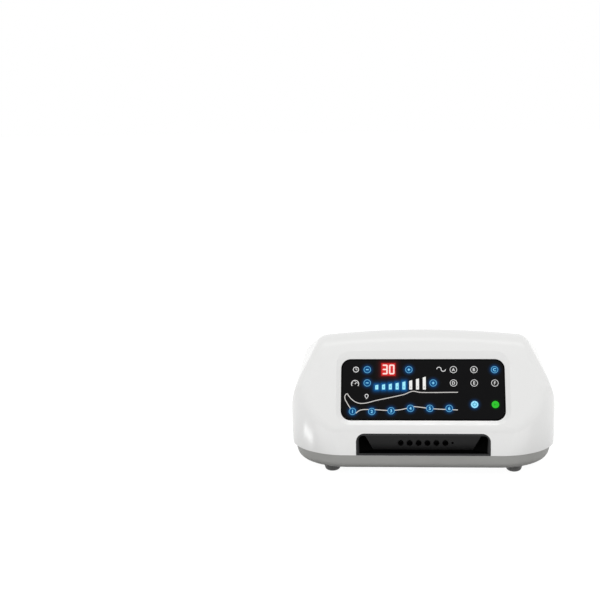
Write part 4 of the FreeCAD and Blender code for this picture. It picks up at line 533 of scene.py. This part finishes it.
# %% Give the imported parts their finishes
FINISH_OF = {
    "upper_housing": WHITE_ABS, "lower_housing": GREY_ABS, "foot_": RUBBER, "control_panel": ACRYLIC,
    "key_": ACRYLIC, "panel_gasket": FOAM, "control_board": LAMINATE, "main_board": LAMINATE,
    "tact_switches": BLACK_EPOXY, "timer_display": RED_EPOXY, "pressure_bars": MILKY_EPOXY,
    "infrared_receiver": INFRARED, "socket_frame": SATIN_ABS, "socket_sill": SATIN_ABS,
    "air_ports": BLACK_NYLON, "port_plates": BLACK_NYLON, "air_tubes": SILICONE, "supply_tube": SILICONE,
    "valve_body": ACETAL, "valve_rotor": ACETAL, "valve_motor": ZINC, "compressor_frame": INNER_ABS,
    "compressor_heads": CAST_ALUMINIUM,
    "compressor_coils": COPPER, "compressor_armature": STEEL_STACK, "compressor_mounts": RUBBER,
    "intake_filter": FELT, "transformer": STEEL_STACK, "capacitors": BLACK_EPOXY, "fuse": FUSE_GLASS,
    "buzzer": BLACK_EPOXY, "power_inlet": BLACK_PBT, "inlet_pins": NICKEL, "switch_housing": BLACK_PBT,
    "power_rocker": BLACK_PBT, "housing_screws": ZINC, "control_board_screws": ZINC,
    "main_board_screws": ZINC, "socket_screws": ZINC,
}
for name, part in frame["nodes"].items():
    beginning = max((b for b in FINISH_OF if name.startswith(b)), key=len)
    part.data.materials.clear()
    part.data.materials.append(FINISH_OF[beginning])
print("parts with a finish:", len(frame["nodes"]))

# %% [markdown]
# ## Tools for flat marks
# Everything that is read on the panel is a flat mark: screen printing some hundredths of a millimetre
# thick, or a window in it with a diode behind. Each is modelled lying flat at the origin, as on a bench,
# given its thickness, and only then laid on the panel. Its place ends up in its mesh and its object at
# the origin.

# %% Bench tools
INK = 0.04  # mm, the thickness of printed ink, thicker than real so that it never sinks into the acrylic


def bench(add, **options):
    """Deselect everything and add a new piece with one of Blender's operators."""
    bpy.ops.object.select_all(action="DESELECT")
    add(**options)
    return bpy.context.object


def copy_of(piece):
    """A copy of a piece on the bench, with its own mesh."""
    twin = piece.copy()
    twin.data = piece.data.copy()
    bpy.context.scene.collection.objects.link(twin)
    return twin


def hold(*pieces):
    """Deselect everything, then select these pieces and make the first one active."""
    bpy.ops.object.select_all(action="DESELECT")
    for piece in pieces:
        piece.select_set(True)
    bpy.context.view_layer.objects.active = pieces[0]
    return pieces[0]


def choose(kind, wanted):
    """In edit mode, select only the verts, edges or faces for which wanted is true."""
    bpy.ops.mesh.select_all(action="DESELECT")
    bpy.ops.mesh.select_mode(type={"verts": "VERT", "edges": "EDGE", "faces": "FACE"}[kind])
    shape = bmesh.from_edit_mesh(bpy.context.object.data)
    for element in getattr(shape, kind):
        if wanted(element):
            element.select_set(True)
    shape.select_flush(True)
    bmesh.update_edit_mesh(bpy.context.object.data)


def thicken():
    """Leave edit mode, give the flat shape the thickness of ink, upwards, and turn its faces outwards."""
    bpy.ops.object.mode_set(mode="OBJECT")
    piece = hold(bpy.context.object)
    if sum(face.normal.z * face.area for face in piece.data.polygons) < 0:
        bpy.ops.object.mode_set(mode="EDIT")
        bpy.ops.mesh.select_all(action="SELECT")
        bpy.ops.mesh.flip_normals()
        bpy.ops.object.mode_set(mode="OBJECT")
    wall = piece.modifiers.new("thickness", "SOLIDIFY")
    wall.thickness = INK * MM
    wall.offset = 1.0
    bpy.ops.object.modifier_apply(modifier=wall.name)
    bpy.ops.object.mode_set(mode="EDIT")
    bpy.ops.mesh.select_all(action="SELECT")
    bpy.ops.mesh.normals_make_consistent(inside=False)
    bpy.ops.object.mode_set(mode="OBJECT")
    return piece


def join(name, *pieces):
    """Join some pieces into one with a name."""
    joined = hold(*pieces)
    if len(pieces) > 1:
        bpy.ops.object.join()
    joined.name = name
    joined.data.name = name
    return joined


def settle(piece, finish, body, place):
    """Move a piece from the bench to its place, freeze that in its mesh, and give it a finish and a body."""
    hold(piece)
    piece.matrix_world = place @ piece.matrix_world
    bpy.ops.object.transform_apply(location=True, rotation=True, scale=True)
    piece.data.materials.clear()
    piece.data.materials.append(finish)
    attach(piece, body)
    return piece


def on_panel(across, up, outward=-PANEL_SUNK):
    """The place of a mark in the panel's plane, in mm."""
    return PANEL_PLACE @ Matrix.Translation(Vector((across, up, outward)) * MM)


print("ink is", INK, "mm thick")

# %% [markdown]
# ## Inks and lit windows
# A printed mark reflects light, and a lit one gives it off. For a lit mark the emission colour is what
# the eye sees, at strength 1 so that it keeps its written colour, and the base stays dark. A little noise
# at the size of the printing screen keeps both from looking like cut paper.

# %% Inks and lit windows
SCREEN_GRAIN = 0.8  # mm, far coarser than a real screen so that it shows
INK_ROUGH = (0.4, 0.55)


def ink(name, tones, base=None):
    """Screen-printed ink or, with a dark base, a lit window. Its tones drift over the screen's grain."""
    finish, tree, place = start_finish(name)
    screen = put(tree, "ShaderNodeTexNoise", values={"Scale": 1 / (SCREEN_GRAIN * MM), "Detail": 2.0},
                 links={"Vector": place}).outputs[0]
    shader = {"IOR": 1.5, "Specular_IOR_Level": 0.3}
    links = tones_and_gloss(tree, screen, screen, tones, INK_ROUGH)
    if base:
        shader |= {"Base_Color": paint(base), "Emission_Strength": 1.0}
        links["Emission Color"] = links.pop("Base Color")
    end_finish(tree, shader, links)
    return finish


# White screen ink: unlit rings, letters and signs.
WHITE_INK = ink("white_screen_ink", ("#EDEDED", "#E0E0E0"))
# Pale grey screen ink of the leg's outline, a shade darker than the white.
GREY_INK = ink("pale_grey_screen_ink", ("#DDDAD7", "#CFCCC9"))
# Blue light through a ring, and paler light through the sign inside it.
BLUE_RING = ink("blue_lit_ring", ("#62B2DE", "#54A4D2"), base="#06121C")
BLUE_SIGN = ink("pale_blue_lit_sign", ("#8CE0FF", "#7AD0F8"), base="#06121C")
# The power key is lit all over in a pale blue, with a deeper blue sign.
POWER_LIGHT = ink("blue_white_lit_disc", ("#9BE4FF", "#8CD9FC"), base="#0A1418")
POWER_SIGN = ink("blue_tinted_sign", ("#3FA6CC", "#369CC2"), base="#08141A")
# The start key is lit all over in green, with a darker green sign.
GREEN_LIGHT = ink("green_lit_disc", ("#1AC816", "#13BC0F"), base="#021202")
GREEN_SIGN = ink("dark_green_sign", ("#0A9A0A", "#088E08"), base="#021202")
# The timer: a red window with figures that glow nearly white.
RED_LIGHT = ink("red_lit_window", ("#DC1414", "#CE0E0E"), base="#140202")
FIGURE_LIGHT = ink("pink_white_lit_figure", ("#FFE9E4", "#FFDAD2"), base="#1A0808")
# Pressure bars: five lit in a cold blue-white, three unlit in plain white.
BAR_LIGHT = ink("blue_white_lit_bar", ("#A6F2FF", "#93E6FC"), base="#081418")
BAR_FIGURE = ink("blue_tinted_figure", ("#5DB4D6", "#50A8CC"), base="#08141A")
BAR_WHITE = ink("white_lit_bar", ("#F4F4F2", "#E9E9E6"), base="#141414")
BAR_GREY = ink("grey_figure", ("#BDBDBA", "#B0B0AC"), base="#141414")
print("inks:", len([m for m in bpy.data.materials if "ink" in m.name or "lit" in m.name]))

# %% [markdown]
# ## Signs
# A ring is a circle whose edge is extruded and drawn inwards. An arc is the same circle with some points
# deleted first. A stroke is a small square whose end edges are extruded. Letters and numbers are text
# objects turned into meshes, because a font already holds their outlines.

# %% Rings, strokes and letters
TOUCH = 1e-7  # metres within which two places are one
CAPITAL_SHARE = 0.7  # height of a capital as a share of its font's size
BOLDNESS = 0.10  # mm by which a letter's outline is moved outwards
ROUND_POINTS = 48


def ring(radius, line, points=ROUND_POINTS, gap=None):
    """A flat ring or, with a gap (middle and half width in degrees), an arc. Sizes in mm."""
    bench(bpy.ops.mesh.primitive_circle_add, vertices=points, radius=radius * MM, fill_type="NOTHING")
    bpy.ops.object.mode_set(mode="EDIT")
    if gap:
        middle, half = map(math.radians, gap)
        towards = Vector((math.cos(middle), math.sin(middle), 0.0))
        choose("verts", lambda v: v.co.angle(towards) < half)
        bpy.ops.mesh.delete(type="VERT")
    bpy.ops.mesh.select_all(action="SELECT")
    bpy.ops.mesh.extrude_region_move()
    inwards = 1 - line / radius
    bpy.ops.transform.resize(value=(inwards, inwards, 1.0), center_override=(0.0, 0.0, 0.0))
    return thicken()


def disc(radius):
    """A flat disc of a radius in mm, its rim stepped in once so that it shades evenly."""
    bench(bpy.ops.mesh.primitive_circle_add, vertices=ROUND_POINTS, radius=radius * MM, fill_type="NGON")
    bpy.ops.object.mode_set(mode="EDIT")
    bpy.ops.mesh.select_all(action="SELECT")
    bpy.ops.mesh.inset(thickness=radius / 6 * MM)
    return thicken()


def stroke(line, left=0.0, right=0.0, down=0.0, up=0.0):
    """A square of one line width with arms of these lengths drawn out of its edges. Sizes in mm."""
    bench(bpy.ops.mesh.primitive_plane_add, size=line * MM)
    bpy.ops.object.mode_set(mode="EDIT")
    edge_place = line / 2 * MM
    for reach, towards in ((left, (-1, 0, 0)), (right, (1, 0, 0)), (down, (0, -1, 0)), (up, (0, 1, 0))):
        if reach:
            side = Vector(towards)
            choose("edges", lambda e: e.calc_length() < line * MM + TOUCH
                   and all(abs(v.co.dot(side) - edge_place) < TOUCH for v in e.verts)
                   and (e.verts[0].co + e.verts[1].co).cross(side).length < TOUCH)
            bpy.ops.mesh.extrude_region_move(TRANSFORM_OT_translate={"value": side * reach * MM})
    return thicken()


def letter(sign, height):
    """One letter or number, centred, as a mesh."""
    written = bench(bpy.ops.object.text_add)
    written.data.body = sign
    written.data.size = height / CAPITAL_SHARE * MM
    written.data.align_x = "CENTER"
    written.data.align_y = "CENTER"
    written.data.extrude = INK / 2 * MM
    written.data.offset = BOLDNESS * MM
    bpy.ops.object.convert(target="MESH")
    written = bpy.context.object
    corners = [vertex.co for vertex in written.data.vertices]
    low, high = Vector(map(min, zip(*corners))), Vector(map(max, zip(*corners)))
    middle = (low + high) / 2
    written.location = (-middle.x, -middle.y, -low.z)
    bpy.ops.object.transform_apply(location=True, rotation=False, scale=False)
    return written


# the keys' rings, discs and signs, all in mm
RING_RADIUS = 3.7
RING_LINE = 0.56
DISC_RADIUS = 3.75
SIGN_LINE = 0.85
POWER_BAR_FOOT = 1.0
TRIANGLE_RADIUS = 1.5
TRIANGLE_ACROSS = -0.7
PAUSE_ACROSS = 1.7


def power_sign():
    """An open ring with a stroke in its gap."""
    bar = stroke(line=0.7, up=1.3)
    bar.location.y = POWER_BAR_FOOT * MM
    return join("power_sign", ring(radius=2.2, line=0.95, points=32, gap=(90, 30)), bar)


def start_sign():
    """A triangle that points right, with a pause stroke beside it."""
    bench(bpy.ops.mesh.primitive_circle_add, vertices=3, radius=TRIANGLE_RADIUS * MM, fill_type="NGON",
          rotation=(0, 0, -math.pi / 2))
    bpy.ops.object.transform_apply(location=False, rotation=True, scale=False)
    triangle = thicken()
    triangle.location.x = TRIANGLE_ACROSS * MM
    bar = stroke(line=0.6, up=1.0, down=1.0)
    bar.location.x = PAUSE_ACROSS * MM
    return join("start_sign", triangle, bar)


print("ring:", RING_RADIUS, "mm radius,", RING_LINE, "mm line")

# %% [markdown]
# ## Key prints
# Each key cap carries its print, so the print rides on the key's own body and goes down with it. A ring and
# its sign are one piece where they share an ink, and two where the sign is brighter than the ring. Power and
# start are lit discs with a darker sign. All rings are alike, so one is modelled and copied for each key.

# %% Print the keys
def sign_of(name):
    """The sign that belongs on a key, on the bench."""
    if name.endswith("minus"):
        return stroke(SIGN_LINE, left=1.0, right=1.0)
    if name.endswith("plus"):
        return stroke(SIGN_LINE, left=0.9, right=0.9, down=0.9, up=0.9)
    if name == "key_power":
        return power_sign()
    if name == "key_start":
        return start_sign()
    return letter(name[-1].upper(), height=3.2)


DISC_INKS = {"key_power": (POWER_LIGHT, POWER_SIGN), "key_start": (GREEN_LIGHT, GREEN_SIGN)}
key_ring = ring(RING_RADIUS, RING_LINE)
for name, (across, up, outward) in KEYS.items():
    top = on_panel(across, up, outward)
    mark = name.replace("key_", "")
    if name in DISC_INKS:
        light, dark = DISC_INKS[name]
        settle(join(f"{mark}_lit_disc", disc(DISC_RADIUS)), light, name, top)
        above = on_panel(across, up, outward + INK)
        settle(join(f"{mark}_sign", sign_of(name)), dark, name, above)
    elif name in LIT_KEYS:
        settle(join(f"{mark}_ring", copy_of(key_ring)), BLUE_RING, name, top)
        settle(join(f"{mark}_sign", sign_of(name)), BLUE_SIGN, name, top)
    else:
        printed = join(f"{mark}_print", copy_of(key_ring), sign_of(name))
        settle(printed, WHITE_INK, name, top)
bpy.data.objects.remove(key_ring)
prints = [o for o in bpy.data.objects if o.name.endswith(("_ring", "_sign", "_print", "_disc"))]
print("key prints:", len(prints))

# %% [markdown]
# ## The timer
# A two-figure timer shows figures made of seven segments each. A segment is a slim plane whose ends are
# drawn to a point. A level one and an upright one are modelled, copied for every lit segment, each copy
# with its own mesh, and the segments of a figure are joined.

# %% Timer window and figures
SEGMENT_LINE = 1.5
FIGURE_WIDTH = 5.7
FIGURE_HEIGHT = 10.6
FIGURE_STEP = 7.0
SEGMENT_EXCESS = SEGMENT_LINE * 0.6  # mm that a segment is longer than the step between its two corners
HALF_WIDTH = (FIGURE_WIDTH - SEGMENT_LINE) / 2
HALF_HEIGHT = (FIGURE_HEIGHT - SEGMENT_LINE) / 2
SEGMENTS = {  # middle of each as shares of a figure's half width and half height, and whether it is upright
    "top": (0, 1, False), "middle": (0, 0, False), "bottom": (0, -1, False), "left top": (-1, 0.5, True),
    "left bottom": (-1, -0.5, True), "right top": (1, 0.5, True), "right bottom": (1, -0.5, True),
}
LIT_SEGMENTS = {
    3: ["top", "middle", "bottom", "right top", "right bottom"],
    0: ["top", "bottom", "left top", "left bottom", "right top", "right bottom"],
}


def segment(length, line=SEGMENT_LINE):
    """A slim plane with pointed ends, its thickness already on it."""
    bench(bpy.ops.mesh.primitive_plane_add, size=line * MM)
    bpy.ops.object.mode_set(mode="EDIT")
    for side in (-1, 1):
        edge_place = side * line / 2 * MM
        choose("edges", lambda e: all(abs(v.co.x - edge_place) < TOUCH for v in e.verts))
        bpy.ops.transform.translate(value=(side * (length / 2 - line) * MM, 0, 0))
        bpy.ops.mesh.extrude_region_move(TRANSFORM_OT_translate={"value": (side * line / 2 * MM, 0, 0)})
        bpy.ops.mesh.merge(type="CENTER")
    return thicken()


def figure(number, level, upright):
    """One seven-segment figure on the bench, made of copies of a level and an upright segment."""
    pieces = []
    for place in LIT_SEGMENTS[number]:
        share_across, share_up, stands = SEGMENTS[place]
        piece = copy_of(upright if stands else level)
        piece.location = (share_across * HALF_WIDTH * MM, share_up * HALF_HEIGHT * MM, 0)
        pieces.append(piece)
    return join(f"timer_figure_{number}", *pieces)


def window(width, height, corner):
    """A flat rectangle with rounded corners."""
    pane = bench(bpy.ops.mesh.primitive_plane_add, size=1.0)
    pane.scale = (width * MM, height * MM, 1.0)
    bpy.ops.object.transform_apply(location=False, rotation=False, scale=True)
    bpy.ops.object.mode_set(mode="EDIT")
    bpy.ops.mesh.select_all(action="SELECT")
    bpy.ops.mesh.bevel(offset=corner * MM, segments=4, affect="VERTICES")
    return thicken()


pane = join("timer_window", window(*TIMER_SIZE, corner=0.5))
settle(pane, RED_LIGHT, "console", on_panel(*TIMER_MIDDLE))
level = segment(2 * HALF_WIDTH + SEGMENT_EXCESS)
upright = segment(HALF_HEIGHT + SEGMENT_EXCESS)
upright.rotation_euler.z = math.radians(90)
for number, side in ((3, -1), (0, 1)):
    place = on_panel(TIMER_MIDDLE[0] + side * FIGURE_STEP / 2, TIMER_MIDDLE[1], INK - PANEL_SUNK)
    settle(figure(number, level, upright), FIGURE_LIGHT, "console", place)
bpy.data.objects.remove(level)
bpy.data.objects.remove(upright)
print("timer:", TIMER_SIZE, "mm")

# %% [markdown]
# ## The pressure bars
# Eight bars climb to the right, and their slanted tops follow one rising line. Each is a plane whose right
# top corner is lifted and whose left one is lowered. A small figure near each foot numbers the steps.

# %% Pressure bars
NUMBER_RISE = 2.6  # mm from a bar's foot to the middle of its number
NUMBER_HEIGHT = 1.9
BAR_CORNER = 0.35


def slanted_bar(height):
    """A bar that stands on the origin, with rounded corners and a top that rises to the right."""
    bar = bench(bpy.ops.mesh.primitive_plane_add, size=1.0)
    bar.scale = (BAR_WIDTH * MM, height * MM, 1.0)
    bar.location.y = height / 2 * MM
    bpy.ops.object.transform_apply(location=True, rotation=False, scale=True)
    bpy.ops.object.mode_set(mode="EDIT")
    for side in (1, -1):
        choose("verts", lambda v: v.co.x * side > 0 and v.co.y > height / 2 * MM)
        bpy.ops.transform.translate(value=(0, side * BAR_SLANT / 2 * MM, 0))
    bpy.ops.mesh.select_all(action="SELECT")
    bpy.ops.mesh.bevel(offset=BAR_CORNER * MM, segments=3, affect="VERTICES")
    return thicken()


for index, height in enumerate(BAR_HEIGHTS):
    light, dark = (BAR_LIGHT, BAR_FIGURE) if index < LIT_BARS else (BAR_WHITE, BAR_GREY)
    across = BAR_START + index * BAR_STEP
    bar = join(f"pressure_bar_{index + 1}", slanted_bar(height))
    settle(bar, light, "console", on_panel(across, BAR_FOOT))
    number = join(f"pressure_figure_{index + 1}", letter(str(index + 1), NUMBER_HEIGHT))
    place = on_panel(across, BAR_FOOT + NUMBER_RISE, INK - PANEL_SUNK)
    settle(number, dark, "console", place)
print("pressure bars:", len(BAR_HEIGHTS), "of which lit:", LIT_BARS)

# %% [markdown]
# ## The outline of a leg
# A printed line behind the position keys draws a leg and foot, so that each key shows which chamber of the
# sleeve it works. It could be a chain of planes, but a curve bends smoothly through a few points. It gets a
# round section, becomes a mesh, and is pressed flat in edit mode. The lower line stops at each key's ring.

# %% Leg outline
LINE_WIDTH = 0.9
INSTEP_AND_SHIN = [(-74.1, 12.6), (-77.9, 19.1), (-79.8, 23.3), (-79.3, 26.5), (-77.6, 27.9), (-76.0, 25.9),
                   (-72.8, 22.2), (-67.5, 18.7), (-62.0, 17.8), (-46.7, 21.2), (-24.2, 26.1), (-18.6, 27.5),
                   (-12.4, 30.2), (-9.2, 30.8), (-5.8, 30.1), (-2.8, 29.6), (35.8, 29.7)]
SOLE_AND_CALF = [
    [(-68.4, 7.4), (-64.9, 10.2), (-61.7, 11.1), (-55.4, 11.4)],
    [(-48.9, 11.2), (-36.2, 10.4)],
    [(-28.6, 10.6), (-22.5, 11.3), (-16.4, 12.7)],
    [(-9.4, 14.6), (-2.8, 13.9), (3.3, 13.0)],
    [(10.7, 12.2), (23.0, 11.6)],
    [(30.2, 11.3), (35.4, 11.1)],
]


def printed_line(points):
    """A line of ink through some points of the panel, in mm, pressed flat on the bench."""
    line = bench(bpy.ops.curve.primitive_bezier_curve_add)
    line.data.splines.clear()
    spline = line.data.splines.new("BEZIER")
    spline.bezier_points.add(len(points) - 1)
    for point, (across, up) in zip(spline.bezier_points, points):
        point.co = (across * MM, up * MM, 0.0)
        point.handle_left_type = point.handle_right_type = "AUTO"
    line.data.bevel_depth = LINE_WIDTH / 2 * MM
    line.data.bevel_resolution = 2
    line.data.use_fill_caps = True
    bpy.ops.object.convert(target="MESH")
    line = bpy.context.object
    bpy.ops.object.mode_set(mode="EDIT")
    bpy.ops.mesh.select_all(action="SELECT")
    bpy.ops.transform.resize(value=(1.0, 1.0, INK / LINE_WIDTH), center_override=(0.0, 0.0, 0.0))
    bpy.ops.transform.translate(value=(0.0, 0.0, INK / 2 * MM))
    bpy.ops.mesh.normals_make_consistent(inside=False)
    bpy.ops.object.mode_set(mode="OBJECT")
    return line


lines = [printed_line(points) for points in [INSTEP_AND_SHIN, *SOLE_AND_CALF]]
settle(join("leg_outline", *lines), GREY_INK, "console", on_panel(0.0, 0.0))
print("leg outline:", len(lines), "lines")

# %% [markdown]
# ## Function marks
# Four rows of keys need to be told apart: time, pressure, position and mode. Plain pictures do it without
# words: a clock, a dial gauge, a place marker and a wave. All are made from rings, arcs and strokes.

# %% Clock, gauge, marker and wave
# all in mm
MARK_LINE = 0.75
TICK_RADIUS = 2.5
MARKER_POINT = (0.0, -3.1)
ARCH_ACROSS = 2.22


def hand(line, length, turn, foot=(0.0, 0.0)):
    """A stroke from a foot, turned from upright by some degrees clockwise."""
    piece = stroke(line, up=length)
    piece.rotation_euler.z = math.radians(-turn)
    piece.location = (foot[0] * MM, foot[1] * MM, 0)
    return piece


def clock():
    """A ring with a long hand at twelve and a short one at nearly four."""
    dial = ring(radius=3.1, line=MARK_LINE)
    hands = [hand(line=0.65, length=length, turn=turn) for length, turn in ((1.8, 0), (1.2, 110))]
    return join("clock_mark", dial, *hands)


def gauge():
    """A dial open at the bottom, with a needle and three ticks."""
    ticks = []
    for turn in (-70, 0, 70):
        foot = (TICK_RADIUS * math.sin(math.radians(turn)), TICK_RADIUS * math.cos(math.radians(turn)))
        ticks.append(hand(line=0.6, length=0.5, turn=turn, foot=foot))
    dial = ring(radius=4.1, line=MARK_LINE, gap=(-90, 50))
    return join("gauge_mark", dial, hand(line=0.75, length=1.9, turn=40), *ticks)


def marker():
    """A ring over a point, as on a map."""
    sides = [hand(line=0.7, length=2.4, turn=turn, foot=MARKER_POINT) for turn in (-32, 32)]
    return join("marker_mark", ring(radius=2.0, line=MARK_LINE, gap=(-90, 35)), *sides)


def wave():
    """Two arches, one up and one down, side by side."""
    arches = []
    for side in (-1, 1):
        arch = ring(radius=2.6, line=MARK_LINE, gap=(90 * side, 90))
        arch.location.x = side * ARCH_ACROSS * MM
        arches.append(arch)
    return join("wave_mark", *arches)


MARKS = ((clock, -68.6, 53.9), (gauge, -69.4, 38.6), (marker, -57.5, 25.9), (wave, 19.0, 54.2))
for made, across, up in MARKS:
    settle(made(), WHITE_INK, "console", on_panel(across, up))
print("function marks:", len(MARKS))

# %% [markdown]
# ## Rocker marks
# The mains switch at the back is marked with a stroke for on and a ring for off, which every country
# reads. The rocker's two flats slant, so the place of each mark is found by sending a ray at the rocker
# from behind and standing the mark on the surface that it meets. The marks ride on the rocker and tip
# with it.

# %% Stroke and ring on the rocker
def standing_on(node, start, towards):
    """The place of a mark on the surface that a ray meets, its z out of the surface and its y upwards."""
    met, spot, normal, _ = frame["nodes"][node].ray_cast(start, towards)
    upwards = (Vector((0.0, 0.0, 1.0)) - normal * normal.z).normalized()
    turn = Matrix((upwards.cross(normal), upwards, normal)).transposed().to_4x4()
    print(node, "met:", met, "at", [round(c / MM, 1) for c in spot])
    return Matrix.Translation(spot) @ turn


MARK_RISE = 4.2  # mm from the rocker's middle to each mark
RAY_START = 0.02  # metres behind the rocker
rocker_low, rocker_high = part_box("power_rocker")
rocker_middle = (rocker_low + rocker_high) / 2
on_stroke, off_ring = stroke(line=0.7, up=1.4, down=1.4), ring(radius=1.7, line=0.6)
for name, made, side in (("rocker_on_mark", on_stroke, 1), ("rocker_off_mark", off_ring, -1)):
    start = Vector((rocker_middle.x, rocker_high.y + RAY_START, rocker_middle.z + side * MARK_RISE * MM))
    place = standing_on("power_rocker", start, Vector((0.0, -1.0, 0.0)))
    settle(join(name, made), WHITE_INK, "switch_rocker", place)
